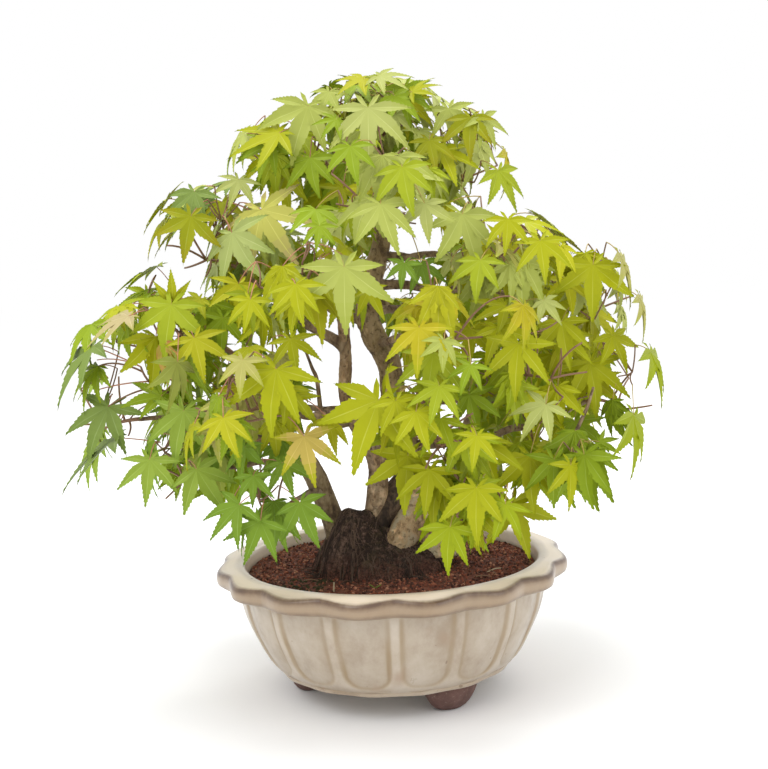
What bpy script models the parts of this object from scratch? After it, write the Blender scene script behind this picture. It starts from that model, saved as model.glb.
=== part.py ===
"""A bonsai Japanese maple, a clump of four stems in a round lobed pot on three clay feet.

Everything is in metres with +Z up. Places are worked out about the pot's upright axis, with
the feet standing at z = 0, and all pieces are then moved together, which puts the origin
under the middle of the whole plant. -Y is the plant's front.
"""

import math
import random

import bmesh
import bpy
from mathutils import Matrix, Vector
from mathutils.bvhtree import BVHTree

CLEAR = 0.0003  # gap kept between pieces that touch
SCRAP_FACES = 12  # a union may drop scraps of fewer faces than this

# Pot
LOBES = 16
STEPS_PER_LOBE = 4
FOOT_HEIGHT = 0.015
BASE_RADIUS = 0.066
INNER_RADIUS = 0.084
POT_WALL = [  # outer radius of the body, height
    (BASE_RADIUS, FOOT_HEIGHT),
    (0.0695, 0.0185),
    (0.0762, 0.0300),
    (0.0822, 0.0440),
    (0.0862, 0.0600),
    (0.0880, 0.0655),
]
RIM_NOTCH_RADIUS = 0.0955
RIM_LOBE = 0.0045  # how far a lobe stands out beyond its notches
RIM_DIP = 0.0030  # how far a lobe's edge hangs below them
RIM_LOW = 0.0672
RIM_HIGH = 0.0748
LIP_HEIGHT = 0.0762
POT_INSIDE = [(0.0826, 0.0680), (0.0775, 0.0460), (0.0600, 0.0215)]
PANEL_BULGE = 0.0012
RIB_HEIGHT = 0.0012

# Feet
FOOT_CIRCLE = 0.051
FOOT_ANGLES = {"foot_front": 33.75, "foot_back": 153.75, "foot_left": 273.75}
FOOT_RINGS = [(0.0075, 0.0), (0.0105, 0.0015), (0.0140, 0.0060), (0.0160, 0.0115), (0.0165, FOOT_HEIGHT)]

# Soil and the mossy mound of roots on it
SOIL_TOP = 0.0690
SOIL_EDGE_DROP = 0.0012
GROUND = SOIL_TOP + CLEAR
MOUND_CENTRE = (0.001, -0.004)
MOUND_RADII = (0.038, 0.030)
MOUND_HEIGHT = 0.020
MOUND_HUMPS = [(-0.019, 0.010, 0.012), (0.006, 0.007, 0.017)]  # place in x, width, extra height

# Stems: places along the axis with the radius there, from the ground to the tip
STEMS = {
    "stem_left": [
        ((-0.0275, -0.012, GROUND), 0.0086), ((-0.0310, -0.012, 0.095), 0.0064),
        ((-0.0420, -0.018, 0.128), 0.0060), ((-0.0530, -0.024, 0.146), 0.0048),
        ((-0.0640, -0.031, 0.164), 0.0036), ((-0.0680, -0.038, 0.182), 0.0024),
    ],
    "stem_middle": [
        ((-0.0065, -0.010, GROUND), 0.0082), ((-0.0082, -0.009, 0.096), 0.0063),
        ((-0.0053, -0.012, 0.128), 0.0056), ((-0.0115, -0.014, 0.143), 0.0050),
        ((-0.0215, -0.017, 0.165), 0.0036), ((-0.0203, -0.018, 0.190), 0.0034),
        ((-0.0215, -0.026, 0.214), 0.0028), ((-0.0270, -0.040, 0.232), 0.0022),
    ],
    "stem_right": [
        ((0.0170, 0.001, GROUND), 0.0125), ((0.0200, 0.002, 0.095), 0.0084),
        ((0.0122, 0.004, 0.133), 0.0074), ((0.0055, 0.005, 0.162), 0.0070),
        ((0.0035, 0.004, 0.184), 0.0070), ((-0.0045, 0.001, 0.200), 0.0068),
        ((-0.0080, 0.000, 0.214), 0.0065), ((-0.0045, 0.002, 0.232), 0.0063),
        ((0.0015, 0.004, 0.251), 0.0055), ((0.0035, 0.002, 0.276), 0.0042),
        ((0.0025, 0.000, 0.303), 0.0026),
    ],
    "stem_side": [
        ((0.0350, 0.010, GROUND), 0.0050), ((0.0345, 0.008, 0.093), 0.0040),
        ((0.0390, 0.000, 0.112), 0.0036), ((0.0430, -0.022, 0.145), 0.0028),
        ((0.0500, -0.034, 0.166), 0.0020),
    ],
}
STEM_SIDES = 10
STUB = {  # what is left of a limb cut off long ago
    "stem": "stem_right", "height": 0.2165, "toward": (0.75, -0.55, 0.35), "length": 0.0135,
    "radius": 0.0046,
}
STUB_SIDES = 8

# Foliage masses: the middle and the three radii of the space each one grows in
MASSES = {
    "leaves_apex": ((0.006, 0.000, 0.319), (0.052, 0.048, 0.036)),
    "leaves_top_left": ((-0.042, -0.006, 0.302), (0.048, 0.046, 0.042)),
    "leaves_top_right": ((0.048, -0.004, 0.292), (0.042, 0.046, 0.038)),
    "leaves_top_front": ((-0.004, -0.064, 0.274), (0.044, 0.038, 0.038)),
    "leaves_top_back": ((0.004, 0.062, 0.276), (0.050, 0.040, 0.038)),
    "leaves_upper_left": ((-0.094, -0.016, 0.254), (0.048, 0.048, 0.040)),
    "leaves_upper_right": ((0.064, -0.052, 0.240), (0.042, 0.042, 0.036)),
    "leaves_right_top": ((0.116, -0.004, 0.216), (0.046, 0.046, 0.042)),
    "leaves_upper_front": ((-0.040, -0.088, 0.224), (0.040, 0.038, 0.038)),
    "leaves_centre_right": ((0.034, -0.090, 0.206), (0.040, 0.036, 0.038)),
    "leaves_left_mid": ((-0.118, -0.026, 0.204), (0.050, 0.048, 0.040)),
    "leaves_left_front": ((-0.072, -0.084, 0.172), (0.042, 0.038, 0.036)),
    "leaves_far_left": ((-0.158, -0.008, 0.164), (0.038, 0.044, 0.046)),
    "leaves_lower_left": ((-0.110, -0.034, 0.136), (0.044, 0.046, 0.038)),
    "leaves_low_left": ((-0.062, -0.062, 0.118), (0.040, 0.042, 0.042)),
    "leaves_centre_low": ((0.026, -0.096, 0.158), (0.040, 0.034, 0.042)),
    "leaves_right_mid": ((0.086, -0.056, 0.184), (0.044, 0.042, 0.038)),
    "leaves_right_outer": ((0.133, -0.004, 0.162), (0.036, 0.044, 0.046)),
    "leaves_right_low": ((0.094, -0.034, 0.130), (0.036, 0.044, 0.038)),
    "leaves_low_right": ((0.044, -0.084, 0.116), (0.038, 0.036, 0.036)),
    "leaves_back_left_high": ((-0.070, 0.066, 0.232), (0.050, 0.046, 0.042)),
    "leaves_back_left_low": ((-0.098, 0.062, 0.158), (0.050, 0.048, 0.044)),
    "leaves_back_mid": ((0.002, 0.092, 0.214), (0.042, 0.036, 0.044)),
    "leaves_back_right_high": ((0.068, 0.066, 0.226), (0.048, 0.046, 0.042)),
    "leaves_back_right_low": ((0.090, 0.062, 0.154), (0.046, 0.048, 0.044)),
}

# What carries each mass: a stem's own tip, the side of a stem, or a bough of its own
ON_TIP = {
    "leaves_apex": "stem_right",
    "leaves_upper_front": "stem_middle",
    "leaves_left_mid": "stem_left",
    "leaves_right_mid": "stem_side",
}
ON_SIDE = {
    "leaves_top_front": ("stem_right", 0.262),
    "leaves_top_back": ("stem_right", 0.258),
    "leaves_back_mid": ("stem_right", 0.226),
}
BOUGHS = {  # stem, height where it leaves the stem, base radius, lift of its arch
    "bough_top_left": ("leaves_top_left", "stem_right", 0.274, 0.0024, 0.004),
    "bough_top_right": ("leaves_top_right", "stem_right", 0.266, 0.0026, 0.002),
    "bough_fork_left": ("leaves_upper_left", "stem_middle", 0.196, 0.0030, -0.004),
    "bough_upper_right": ("leaves_upper_right", "stem_right", 0.244, 0.0028, 0.002),
    "bough_right_top": ("leaves_right_top", "stem_right", 0.229, 0.0032, 0.000),
    "bough_centre_right": ("leaves_centre_right", "stem_right", 0.196, 0.0026, 0.000),
    "bough_right_outer": ("leaves_right_outer", "stem_right", 0.136, 0.0034, -0.012),
    "bough_right_low": ("leaves_right_low", "stem_side", 0.116, 0.0022, 0.000),
    "bough_low_right": ("leaves_low_right", "stem_side", 0.104, 0.0022, 0.006),
    "bough_centre_low": ("leaves_centre_low", "stem_middle", 0.137, 0.0026, 0.002),
    "bough_mid_low": ("leaves_left_front", "stem_middle", 0.160, 0.0026, -0.006),
    "bough_far_left": ("leaves_far_left", "stem_left", 0.141, 0.0028, 0.008),
    "bough_lower_left": ("leaves_lower_left", "stem_left", 0.128, 0.0024, 0.004),
    "bough_low_left": ("leaves_low_left", "stem_left", 0.112, 0.0024, 0.006),
    "bough_back_left_high": ("leaves_back_left_high", "stem_right", 0.206, 0.0034, 0.002),
    "bough_back_left_low": ("leaves_back_left_low", "stem_right", 0.150, 0.0034, 0.006),
    "bough_back_right_high": ("leaves_back_right_high", "stem_right", 0.212, 0.0034, 0.002),
    "bough_back_right_low": ("leaves_back_right_low", "stem_right", 0.156, 0.0034, 0.004),
}
BOUGH_SIDES = 5
BOUGH_RINGS = 6
BOUGH_TIP_RADIUS = 0.0013
BOUGH_END = 0.55  # of the way from a mass's middle to the edge of its space

# Twigs and leaves
LEAF_LENGTH = 0.0285
LEAF_TIPS = [(-98, 0.60), (-48, 0.90), (0, 1.00), (48, 0.90), (98, 0.60)]  # degrees off the midrib, reach
LEAF_NOTCH = 0.46
LEAF_DROOP = 0.16
LEAF_HALF_THICKNESS = 0.00048
STALK_RADIUS = 0.00055
STALK_SHORTEST = 0.008
STALK_LONGEST = 0.024
STALK_USUAL = 0.013
TWIG_RADIUS = 0.00105
LEAVES_PER_MASS = 10
SIBLING_TURN = (50, 115)  # degrees between the leaves that share a twig's end
SIBLING_TRIES = 14
SPACE_OVERHANG = 1.18  # how far past its radii a leaf may reach
SEED = 600
LEAF_WAYS = 30  # directions in which a mass tries to hold out a leaf
LEAF_TRIES = 28
TIP_SHELL = (0.80, 1.06)  # how far out in its space a leaf's tip lies
WALL_CROSSING = 0.015  # how far a leaf's tips may reach past the wall to the next mass
SIGHT_LINES = [  # see-through places, as left, right, low and high at the pot's axis
    (-0.041, -0.014, 0.098, 0.134),
    (-0.029, -0.004, 0.160, 0.204),
    (0.022, 0.030, 0.122, 0.140),
    (0.008, 0.028, 0.238, 0.264),
]
CROWN_OUTLINE = [  # the crown's outline from the front, as x and z at the pot's axis
    (-0.015, 0.348), (0.035, 0.344), (0.055, 0.328), (0.070, 0.320), (0.080, 0.275), (0.092, 0.258),
    (0.136, 0.250), (0.150, 0.200), (0.162, 0.172), (0.160, 0.150), (0.144, 0.114), (0.125, 0.126),
    (0.115, 0.097), (0.093, 0.090), (0.080, 0.067), (0.026, 0.061), (-0.087, 0.070),
    (-0.101, 0.111), (-0.135, 0.109), (-0.174, 0.119), (-0.188, 0.160), (-0.173, 0.208),
    (-0.138, 0.233), (-0.098, 0.238), (-0.130, 0.255), (-0.110, 0.291), (-0.082, 0.306),
    (-0.045, 0.331),
]
VIEWPOINT = Vector((0.0, -0.618, 0.226))  # where the plant is looked at from, in front


def clear_scene():
    for thing in list(bpy.data.objects):
        bpy.data.objects.remove(thing, do_unlink=True)


def make_material(name, colour, roughness, metallic=0.0):
    material = bpy.data.materials.new(name)
    material.use_nodes = True
    shader = material.node_tree.nodes["Principled BSDF"]
    shader.inputs["Base Color"].default_value = (*colour, 1.0)
    shader.inputs["Roughness"].default_value = roughness
    shader.inputs["Metallic"].default_value = metallic
    return material


def add_object(name, mesh, material, smooth_angle=None):
    mesh.name = name
    mesh.materials.clear()
    mesh.materials.append(material)
    if smooth_angle:
        mesh.shade_smooth()
        mesh.set_sharp_from_angle(angle=math.radians(smooth_angle))
    piece = bpy.data.objects.new(name, mesh)
    bpy.context.scene.collection.objects.link(piece)
    return piece


def mesh_from(shape, name="shape"):
    """Turns a bmesh into a mesh, with its faces pointing out."""
    bmesh.ops.recalc_face_normals(shape, faces=shape.faces)
    mesh = bpy.data.meshes.new(name)
    shape.to_mesh(mesh)
    shape.free()
    return mesh


def ring(shape, points):
    return [shape.verts.new(point) for point in points]


def skin(shape, rings):
    """Joins closed rings of equal count into a tube, and caps both ends."""
    for low, high in zip(rings, rings[1:]):
        count = len(low)
        for i in range(count):
            j = (i + 1) % count
            shape.faces.new((low[i], low[j], high[j], high[i]))
    shape.faces.new(list(reversed(rings[0])))
    shape.faces.new(rings[-1])


def lobe(angle):
    """0 at a notch of the rim and 1 in the middle of a lobe."""
    swell = 0.5 - 0.5 * math.cos(LOBES * angle)
    return 0.5 * swell + 0.5 * abs(math.sin(0.5 * LOBES * angle))


def rib(angle):
    """1 on a rib of the body, and 0 a step away."""
    step = LOBES * angle / math.tau
    return max(0.0, 1.0 - STEPS_PER_LOBE * abs(step - round(step)))


def build_pot():
    count = LOBES * STEPS_PER_LOBE
    angles = [math.tau * i / count for i in range(count)]

    def around(radius_at, height_at):
        return [
            (radius_at(a) * math.sin(a), -radius_at(a) * math.cos(a), height_at(a)) for a in angles
        ]

    shape = bmesh.new()
    rings = []
    for radius, height in POT_WALL:
        full = math.sin(math.pi * (height - FOOT_HEIGHT) / (RIM_LOW - FOOT_HEIGHT) * 0.9 + 0.1)
        rings.append(ring(shape, around(
            lambda a: radius + full * (PANEL_BULGE * lobe(a) + RIB_HEIGHT * rib(a)),
            lambda a: height,
        )))
    edge = lambda a: RIM_NOTCH_RADIUS + RIM_LOBE * lobe(a)
    rings.append(ring(shape, around(edge, lambda a: RIM_LOW - RIM_DIP * lobe(a) * 0.8)))
    rings.append(ring(shape, around(edge, lambda a: RIM_HIGH - RIM_DIP * lobe(a))))
    rings.append(ring(shape, around(lambda a: INNER_RADIUS, lambda a: LIP_HEIGHT)))
    for radius, height in POT_INSIDE:
        rings.append(ring(shape, around(lambda a: radius, lambda a: height)))
    skin(shape, rings)
    return mesh_from(shape)


def build_foot():
    """A blunt clay foot, flat above and below, wider across than it is deep."""
    shape = bmesh.new()
    rings = []
    for radius, height in FOOT_RINGS:
        top = min(height, FOOT_HEIGHT - CLEAR)
        rings.append(ring(shape, [
            (radius * math.cos(a), 0.72 * radius * math.sin(a), top)
            for a in (math.tau * i / 14 for i in range(14))
        ]))
    skin(shape, rings)
    return mesh_from(shape)


def build_soil():
    count = 48
    tops = [(0.0, 0.0006), (0.45, 0.0), (0.78, -0.0002), (1.0, -SOIL_EDGE_DROP)]
    outside = [(r - 0.0008, h) for r, h in reversed(POT_INSIDE)]
    outside[0] = (outside[0][0], outside[0][1] + CLEAR)
    outside[-1] = (outside[-1][0], SOIL_TOP - SOIL_EDGE_DROP)
    edge = outside[-1][0]
    shape = bmesh.new()
    rings = []
    for radius, height in outside:
        rings.append(ring(shape, [
            (radius * math.sin(a), -radius * math.cos(a), height)
            for a in (math.tau * i / count for i in range(count))
        ]))
    for share, drop in reversed(tops[1:-1]):
        rings.append(ring(shape, [
            (share * edge * math.sin(a), -share * edge * math.cos(a), SOIL_TOP + drop)
            for a in (math.tau * i / count for i in range(count))
        ]))
    skin(shape, rings)
    return mesh_from(shape)


def smooth_path(points, steps):
    """Points along a Catmull-Rom curve through the given places, with their radii."""
    spots = [Vector((*place, radius)) for place, radius in points]
    spots = [2 * spots[0] - spots[1], *spots, 2 * spots[-1] - spots[-2]]
    path = []
    for a, b, c, d in zip(spots, spots[1:], spots[2:], spots[3:]):
        for i in range(steps):
            t = i / steps
            path.append(0.5 * (
                2 * b + (c - a) * t + (2 * a - 5 * b + 4 * c - d) * t**2
                + (3 * b - a - 3 * c + d) * t**3
            ))
    path.append(spots[-2])
    return [(p.xyz, p.w) for p in path]


def path_frames(path):
    """Two directions across the path at each of its points, turned as little as can be."""
    across = Vector((1.0, 0.0, 0.0))
    frames = []
    for i, (place, _) in enumerate(path):
        ahead = path[min(i + 1, len(path) - 1)][0] - path[max(i - 1, 0)][0]
        ahead.normalize()
        across = across - ahead * across.dot(ahead)
        if across.length < 0.1:
            across = ahead.orthogonal()
        across.normalize()
        frames.append((across.copy(), ahead.cross(across)))
    return frames


def tube(path, sides, grow=0.0, flat_foot=False):
    """A tapering limb along a path of places and radii, closed at both ends."""
    shape = bmesh.new()
    rings = []
    for (place, radius), (across, up) in zip(path, path_frames(path)):
        points = [
            place + (across * math.cos(a) + up * math.sin(a)) * (radius + grow)
            for a in (math.tau * i / sides for i in range(sides))
        ]
        rings.append(points)
    if flat_foot:
        for point in rings[0]:
            point.z = path[0][0].z
    skin(shape, [ring(shape, points) for points in rings])
    return mesh_from(shape)


def with_modifier(mesh, others, operation, solver):
    """The mesh after one Boolean with a collection of other meshes."""
    group = bpy.data.collections.new("operands")
    bpy.context.scene.collection.children.link(group)
    for other in others:
        group.objects.link(bpy.data.objects.new("operand", other))
    base = bpy.data.objects.new("base", mesh)
    bpy.context.scene.collection.objects.link(base)
    modifier = base.modifiers.new("join", "BOOLEAN")
    modifier.operand_type = "COLLECTION"
    modifier.collection = group
    modifier.operation = operation
    modifier.solver = solver
    graph = bpy.context.evaluated_depsgraph_get()
    result = bpy.data.meshes.new_from_object(base.evaluated_get(graph))
    for thing in [base, *group.objects]:
        bpy.data.objects.remove(thing, do_unlink=True)
    bpy.data.collections.remove(group)
    return result


def largest_shell(mesh):
    """Keeps the biggest shell, which drops loose scraps and fills sealed hollows. Says
    whether it is closed, and how many faces were dropped."""
    shape = bmesh.new()
    shape.from_mesh(mesh)
    bmesh.ops.triangulate(shape, faces=shape.faces)
    waiting = set(shape.faces)
    shells = []
    while waiting:
        shell, front = set(), [waiting.pop()]
        while front:
            face = front.pop()
            shell.add(face)
            for edge in face.edges:
                for other in edge.link_faces:
                    if other in waiting:
                        waiting.discard(other)
                        front.append(other)
        shells.append(shell)
    keep = max(shells, key=len)
    scraps = [face for face in shape.faces if face not in keep]
    bmesh.ops.delete(shape, geom=scraps, context="FACES")
    closed = all(len(e.link_faces) == 2 for e in shape.edges)
    shape.to_mesh(mesh)
    shape.free()
    return closed, len(scraps)


def joined(mesh, others):
    """One closed solid of a mesh and the others that are sunk into it. Where the whole lot
    will not close, it is made without the last one."""
    others = list(others)
    while True:
        for solver in ("EXACT", "MANIFOLD"):
            result = with_modifier(mesh.copy(), [other.copy() for other in others], "UNION", solver)
            closed, dropped = largest_shell(result)
            if closed and dropped < SCRAP_FACES:
                return result
        others.pop()


def cut(mesh, cutters):
    result = with_modifier(mesh, cutters, "DIFFERENCE", "EXACT")
    largest_shell(result)
    return result


def at_height(path, height):
    """The place, radius and heading of a stem where it passes a height."""
    for (low, r0), (high, r1) in zip(path, path[1:]):
        if low.z <= height <= high.z:
            t = (height - low.z) / (high.z - low.z)
            return low.lerp(high, t), r0 + (r1 - r0) * t, (high - low).normalized()
    raise ValueError(f"no stem at height {height}")


def mean_radius(mass):
    return sum(MASSES[mass][1]) / 3


def bough_path(mass, stem_path, height, radius, lift):
    """From a stem's axis in one arch to the edge of the mass's space."""
    start, _, _ = at_height(stem_path, height)
    centre, radii = Vector(MASSES[mass][0]), Vector(MASSES[mass][1])
    back = start - centre
    far = math.sqrt(sum((b / r) ** 2 for b, r in zip(back, radii)))
    end = centre + back * (BOUGH_END / far)
    bend = start.lerp(end, 0.45) + Vector((0.0, 0.0, lift))
    path = []
    for i in range(BOUGH_RINGS + 1):
        t = i / BOUGH_RINGS
        place = start * (1 - t) ** 2 + bend * 2 * t * (1 - t) + end * t**2
        path.append((place, radius + (BOUGH_TIP_RADIUS - radius) * t**0.8))
    return path


def past_wall(mass, point):
    """How far a point lies past the nearest wall between its own mass and the others."""
    centre, size = Vector(MASSES[mass][0]), mean_radius(mass)
    own = (point - centre).length_squared - size**2
    worst = -1.0
    for other, (place, _) in MASSES.items():
        if other != mass:
            place = Vector(place)
            theirs = (point - place).length_squared - mean_radius(other) ** 2
            worst = max(worst, (own - theirs) / (2 * (place - centre).length))
    return worst


def in_reach(mass, point):
    centre, radii = MASSES[mass]
    return sum(((p - c) / r) ** 2 for p, c, r in zip(point, centre, radii)) < SPACE_OVERHANG**2


def in_outline(point):
    """Whether a point stands inside the crown's outline and in none of the see-through
    places, seen from the front."""
    ray = point - VIEWPOINT
    seen = VIEWPOINT + ray * (-VIEWPOINT.y / ray.y)
    if any(left < seen.x < right and low < seen.z < high for left, right, low, high in SIGHT_LINES):
        return False
    inside = False
    for (x0, z0), (x1, z1) in zip(CROWN_OUTLINE, CROWN_OUTLINE[1:] + CROWN_OUTLINE[:1]):
        if (z0 > seen.z) != (z1 > seen.z) and seen.x < x0 + (seen.z - z0) / (z1 - z0) * (x1 - x0):
            inside = not inside
    return inside


def add_blade(shape, base, axis, face, grow=0.0):
    """Adds a five-lobed blade: base is where the stalk meets it, axis runs along the midrib
    and face is the way the upper side looks. Gives back the three corners for the stalk."""
    side = axis.cross(face).normalized()
    outline = []
    for i, (turn, reach) in enumerate(LEAF_TIPS):
        if i:
            middle = math.radians((turn + LEAF_TIPS[i - 1][0]) / 2)
            outline.append((middle, LEAF_NOTCH, 0.35))
        outline.append((math.radians(turn), reach, 1.0))
    edge = []
    for turn, reach, droop in outline:
        length = reach * LEAF_LENGTH + grow
        edge.append(shape.verts.new(
            base + (side * math.sin(turn) + axis * math.cos(turn)) * length
            - face * LEAF_DROOP * droop * reach * length
        ))
    half_thick, half_wide = LEAF_HALF_THICKNESS + grow, STALK_RADIUS + grow
    top = shape.verts.new(base - axis * 0.0003 + face * half_thick)
    left = shape.verts.new(base - side * half_wide + axis * 0.0002 - face * half_thick)
    right = shape.verts.new(base + side * half_wide + axis * 0.0002 - face * half_thick)
    half = len(edge) // 2
    for i in range(len(edge) - 1):
        shape.faces.new((top, edge[i + 1], edge[i]))
        shape.faces.new((left if i < half else right, edge[i], edge[i + 1]))
    shape.faces.new((left, edge[half], right))
    shape.faces.new((top, edge[0], left))
    shape.faces.new((top, right, edge[-1]))
    return [top, left, right]


def triangle(shape, place, ahead, radius, turn):
    """Three corners round a place, across a direction."""
    across = ahead.orthogonal().normalized()
    up = ahead.cross(across)
    return [
        shape.verts.new(place + (across * math.cos(a) + up * math.sin(a)) * radius)
        for a in (turn + math.tau * i / 3 for i in range(3))
    ]


def bridge(shape, first, second):
    """Three faces between two triangles, with as little twist as can be."""
    way = sum((v.co for v in second), Vector()) - sum((v.co for v in first), Vector())

    def turned(corners):
        a, b, c = (v.co for v in corners)
        return corners if (b - a).cross(c - a).dot(way) > 0 else corners[::-1]

    first, second = turned(first), turned(second)
    turns = [second[i:] + second[:i] for i in range(3)]
    second = min(turns, key=lambda turn: sum((a.co - b.co).length for a, b in zip(first, turn)))
    for i in range(3):
        j = (i + 1) % 3
        shape.faces.new((first[i], first[j], second[j]))
        shape.faces.new((first[i], second[j], second[i]))


def leaf_mesh(base, axis, face, end, grow=0.0):
    """One leaf and its stalk by themselves, as thick as they need to be kept clear."""
    shape = bmesh.new()
    corners = add_blade(shape, base, axis, face, grow)
    root = triangle(shape, end, (base - end).normalized(), STALK_RADIUS + grow, 0.0)
    bridge(shape, root, corners)
    shape.faces.new(root)
    return mesh_from(shape)


def facing(corners, middle):
    """Which way a face looks, seen from the middle of what it belongs to."""
    return (sum((v.co for v in corners), Vector()) / len(corners) - middle).normalized()


def spray_mesh(start, end, leaves):
    """A three-sided twig from start to end, whose tip holds out a leaf ahead and may hold
    one to each side."""
    ahead = (end - start).normalized()
    shape = bmesh.new()
    root = triangle(shape, start, ahead, TWIG_RADIUS, 0.0)
    collar = triangle(shape, end, ahead, 0.9 * TWIG_RADIUS, 0.0)
    crown = triangle(shape, end + ahead * 0.0014, ahead, 0.8 * TWIG_RADIUS, math.pi / 3)
    shape.faces.new(root)
    bridge(shape, root, collar)
    sides = []
    for i in range(3):
        j = (i + 1) % 3
        sides += [[collar[i], collar[j], crown[i]], [collar[j], crown[j], crown[i]]]
    middle = end + ahead * 0.0007
    for number, leaf in enumerate(leaves):
        corners = add_blade(shape, *leaf)
        if number == 0:
            bridge(shape, crown, corners)
            continue
        way = (leaf[0] - middle).normalized()
        seat = max(sides, key=lambda side: facing(side, middle).dot(way))
        sides.remove(seat)
        bridge(shape, seat, corners)
    for side in sides:
        shape.faces.new(side)
    return mesh_from(shape)


def tree_of(mesh):
    shape = bmesh.new()
    shape.from_mesh(mesh)
    tree = BVHTree.FromBMesh(shape)
    shape.free()
    return tree


def crosses_itself(mesh):
    tree = tree_of(mesh)
    corners = [set(face.vertices) for face in mesh.polygons]
    return any(not corners[i] & corners[j] for i, j in tree.overlap(tree))


def spread(count, turn):
    """Directions spread evenly over a ball, from the top down."""
    for i in range(count):
        up = 1 - (2 * i + 1) / count
        flat = math.sqrt(1 - up * up)
        angle = i * math.pi * (3 - math.sqrt(5)) + turn
        yield Vector((flat * math.cos(angle), flat * math.sin(angle), up))


class Crowd:
    """What already stands in the crown, to keep new twigs and leaves clear of it."""

    def __init__(self):
        self.things = []

    def add(self, owner, mesh):
        middle = sum((v.co for v in mesh.vertices), Vector()) / len(mesh.vertices)
        size = max((v.co - middle).length for v in mesh.vertices)
        self.things.append((owner, middle, size, tree_of(mesh)))

    def rename(self, owner, other):
        self.things = [
            (other if name == owner else name, middle, size, tree)
            for name, middle, size, tree in self.things
        ]

    def touches(self, mesh, skipping=()):
        middle = sum((v.co for v in mesh.vertices), Vector()) / len(mesh.vertices)
        size = max((v.co - middle).length for v in mesh.vertices)
        tree = tree_of(mesh)
        return any(
            owner not in skipping and (middle - place).length < size + far and tree.overlap(other)
            for owner, place, far, other in self.things
        )


def leaf_set(way, out, rng):
    """How a leaf held out in one direction hangs: along its midrib, and the way it faces."""
    up = Vector((0, 0, 1))
    out = Vector((out.x, out.y, 0)).normalized()
    fall = math.radians(min(82, max(22, 58 - 26 * way.z + rng.uniform(-16, 16))))
    axis = out * math.cos(fall) - up * math.sin(fall)
    face = out * math.sin(fall) + up * math.cos(fall)
    face.rotate(Matrix.Rotation(rng.uniform(-0.35, 0.35), 3, axis))
    return axis, face


def leaf_fits(mass, leaf, end, crowd):
    """Whether a leaf keeps to its space and clear of all but its own twigs."""
    base, axis, face = leaf
    if past_wall(mass, base + axis * 0.4 * LEAF_LENGTH) > 0:
        return False
    if (base - end).normalized().dot(axis) < 0.35:
        return False
    whole = leaf_mesh(*leaf, end, 2 * CLEAR)
    spots = [vert.co for vert in whole.vertices] + [face.center for face in whole.polygons]
    if not all(in_outline(spot) for spot in spots):
        return False
    blade = leaf_mesh(*leaf, base - axis * 0.002, 2 * CLEAR)
    for vert in blade.vertices:
        if past_wall(mass, vert.co) > WALL_CROSSING or not in_reach(mass, vert.co):
            return False
    return not (
        crowd.touches(whole, (mass + " twigs", "this spray")) or crowd.touches(blade, ("this spray",))
    )


def grow_spray(mass, rng, way, leader, crowd):
    """A leaf held out in one direction on a twig, and its neighbours beside it. Gives back
    the spray's mesh and its number of leaves, or None where nothing fits."""
    centre, radii = Vector(MASSES[mass][0]), Vector(MASSES[mass][1])
    outward = Vector((way.x, way.y, 0)) + Vector((centre.x, centre.y, 0)) * 6
    outward.rotate(Matrix.Rotation(rng.uniform(-0.7, 0.7), 3, "Z"))
    axis, face = leaf_set(way, outward, rng)
    shell = rng.uniform(*TIP_SHELL)
    tip = centre + Vector([r * w * shell for r, w in zip(radii, way)])
    base = tip - (axis - face * LEAF_DROOP) * LEAF_LENGTH
    along = [leader[i][0].lerp(leader[i + 1][0], t) for i in (1, 2, 3) for t in (0.15, 0.45, 0.75)]
    start = min(along, key=lambda spot: (spot - base).length + rng.uniform(0, 0.006))
    back = (start - base).normalized() - axis * 0.8
    end = base + back.normalized() * STALK_USUAL
    leaves = [(base, axis, face)]
    if (end - start).length < 0.004 or not leaf_fits(mass, leaves[0], end, crowd):
        return None
    if crosses_itself(spray_mesh(start, end, leaves)):
        return None
    twig = [(start, TWIG_RADIUS), (end, TWIG_RADIUS)]
    if crowd.touches(tube(twig, 3, grow=2 * CLEAR), (mass + " twigs",)):
        return None
    crowd.add("this spray", leaf_mesh(*leaves[0], end))
    for sign in (1, -1):
        for _ in range(SIBLING_TRIES):
            stalk = base - end
            stalk.rotate(Matrix.Rotation(sign * math.radians(rng.uniform(*SIBLING_TURN)), 3, "Z"))
            stalk.z += rng.uniform(-0.006, 0.006)
            side = end + stalk.normalized() * rng.uniform(STALK_SHORTEST, STALK_LONGEST)
            turned = outward.copy()
            turned.rotate(Matrix.Rotation(sign * math.radians(rng.uniform(*SIBLING_TURN)) * 0.7, 3, "Z"))
            leaf = (side, *leaf_set(way, turned, rng))
            blade = leaf_mesh(*leaf, side - leaf[1] * 0.002, 2 * CLEAR)
            if crosses_itself(spray_mesh(start, end, [*leaves, leaf])):
                continue
            if leaf_fits(mass, leaf, end, crowd) and not crowd.touches(blade, (mass,)):
                leaves.append(leaf)
                crowd.add("this spray", leaf_mesh(*leaf, end))
                break
    crowd.rename("this spray", mass)
    spray = spray_mesh(start, end, leaves)
    crowd.add(mass + " twigs", tube(twig, 3))
    return spray, len(leaves)


def end_of(path):
    """A limb's tip and its heading there."""
    tip, before = path[-1][0], path[-2][0]
    return tip, (tip - before).normalized()


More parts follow.
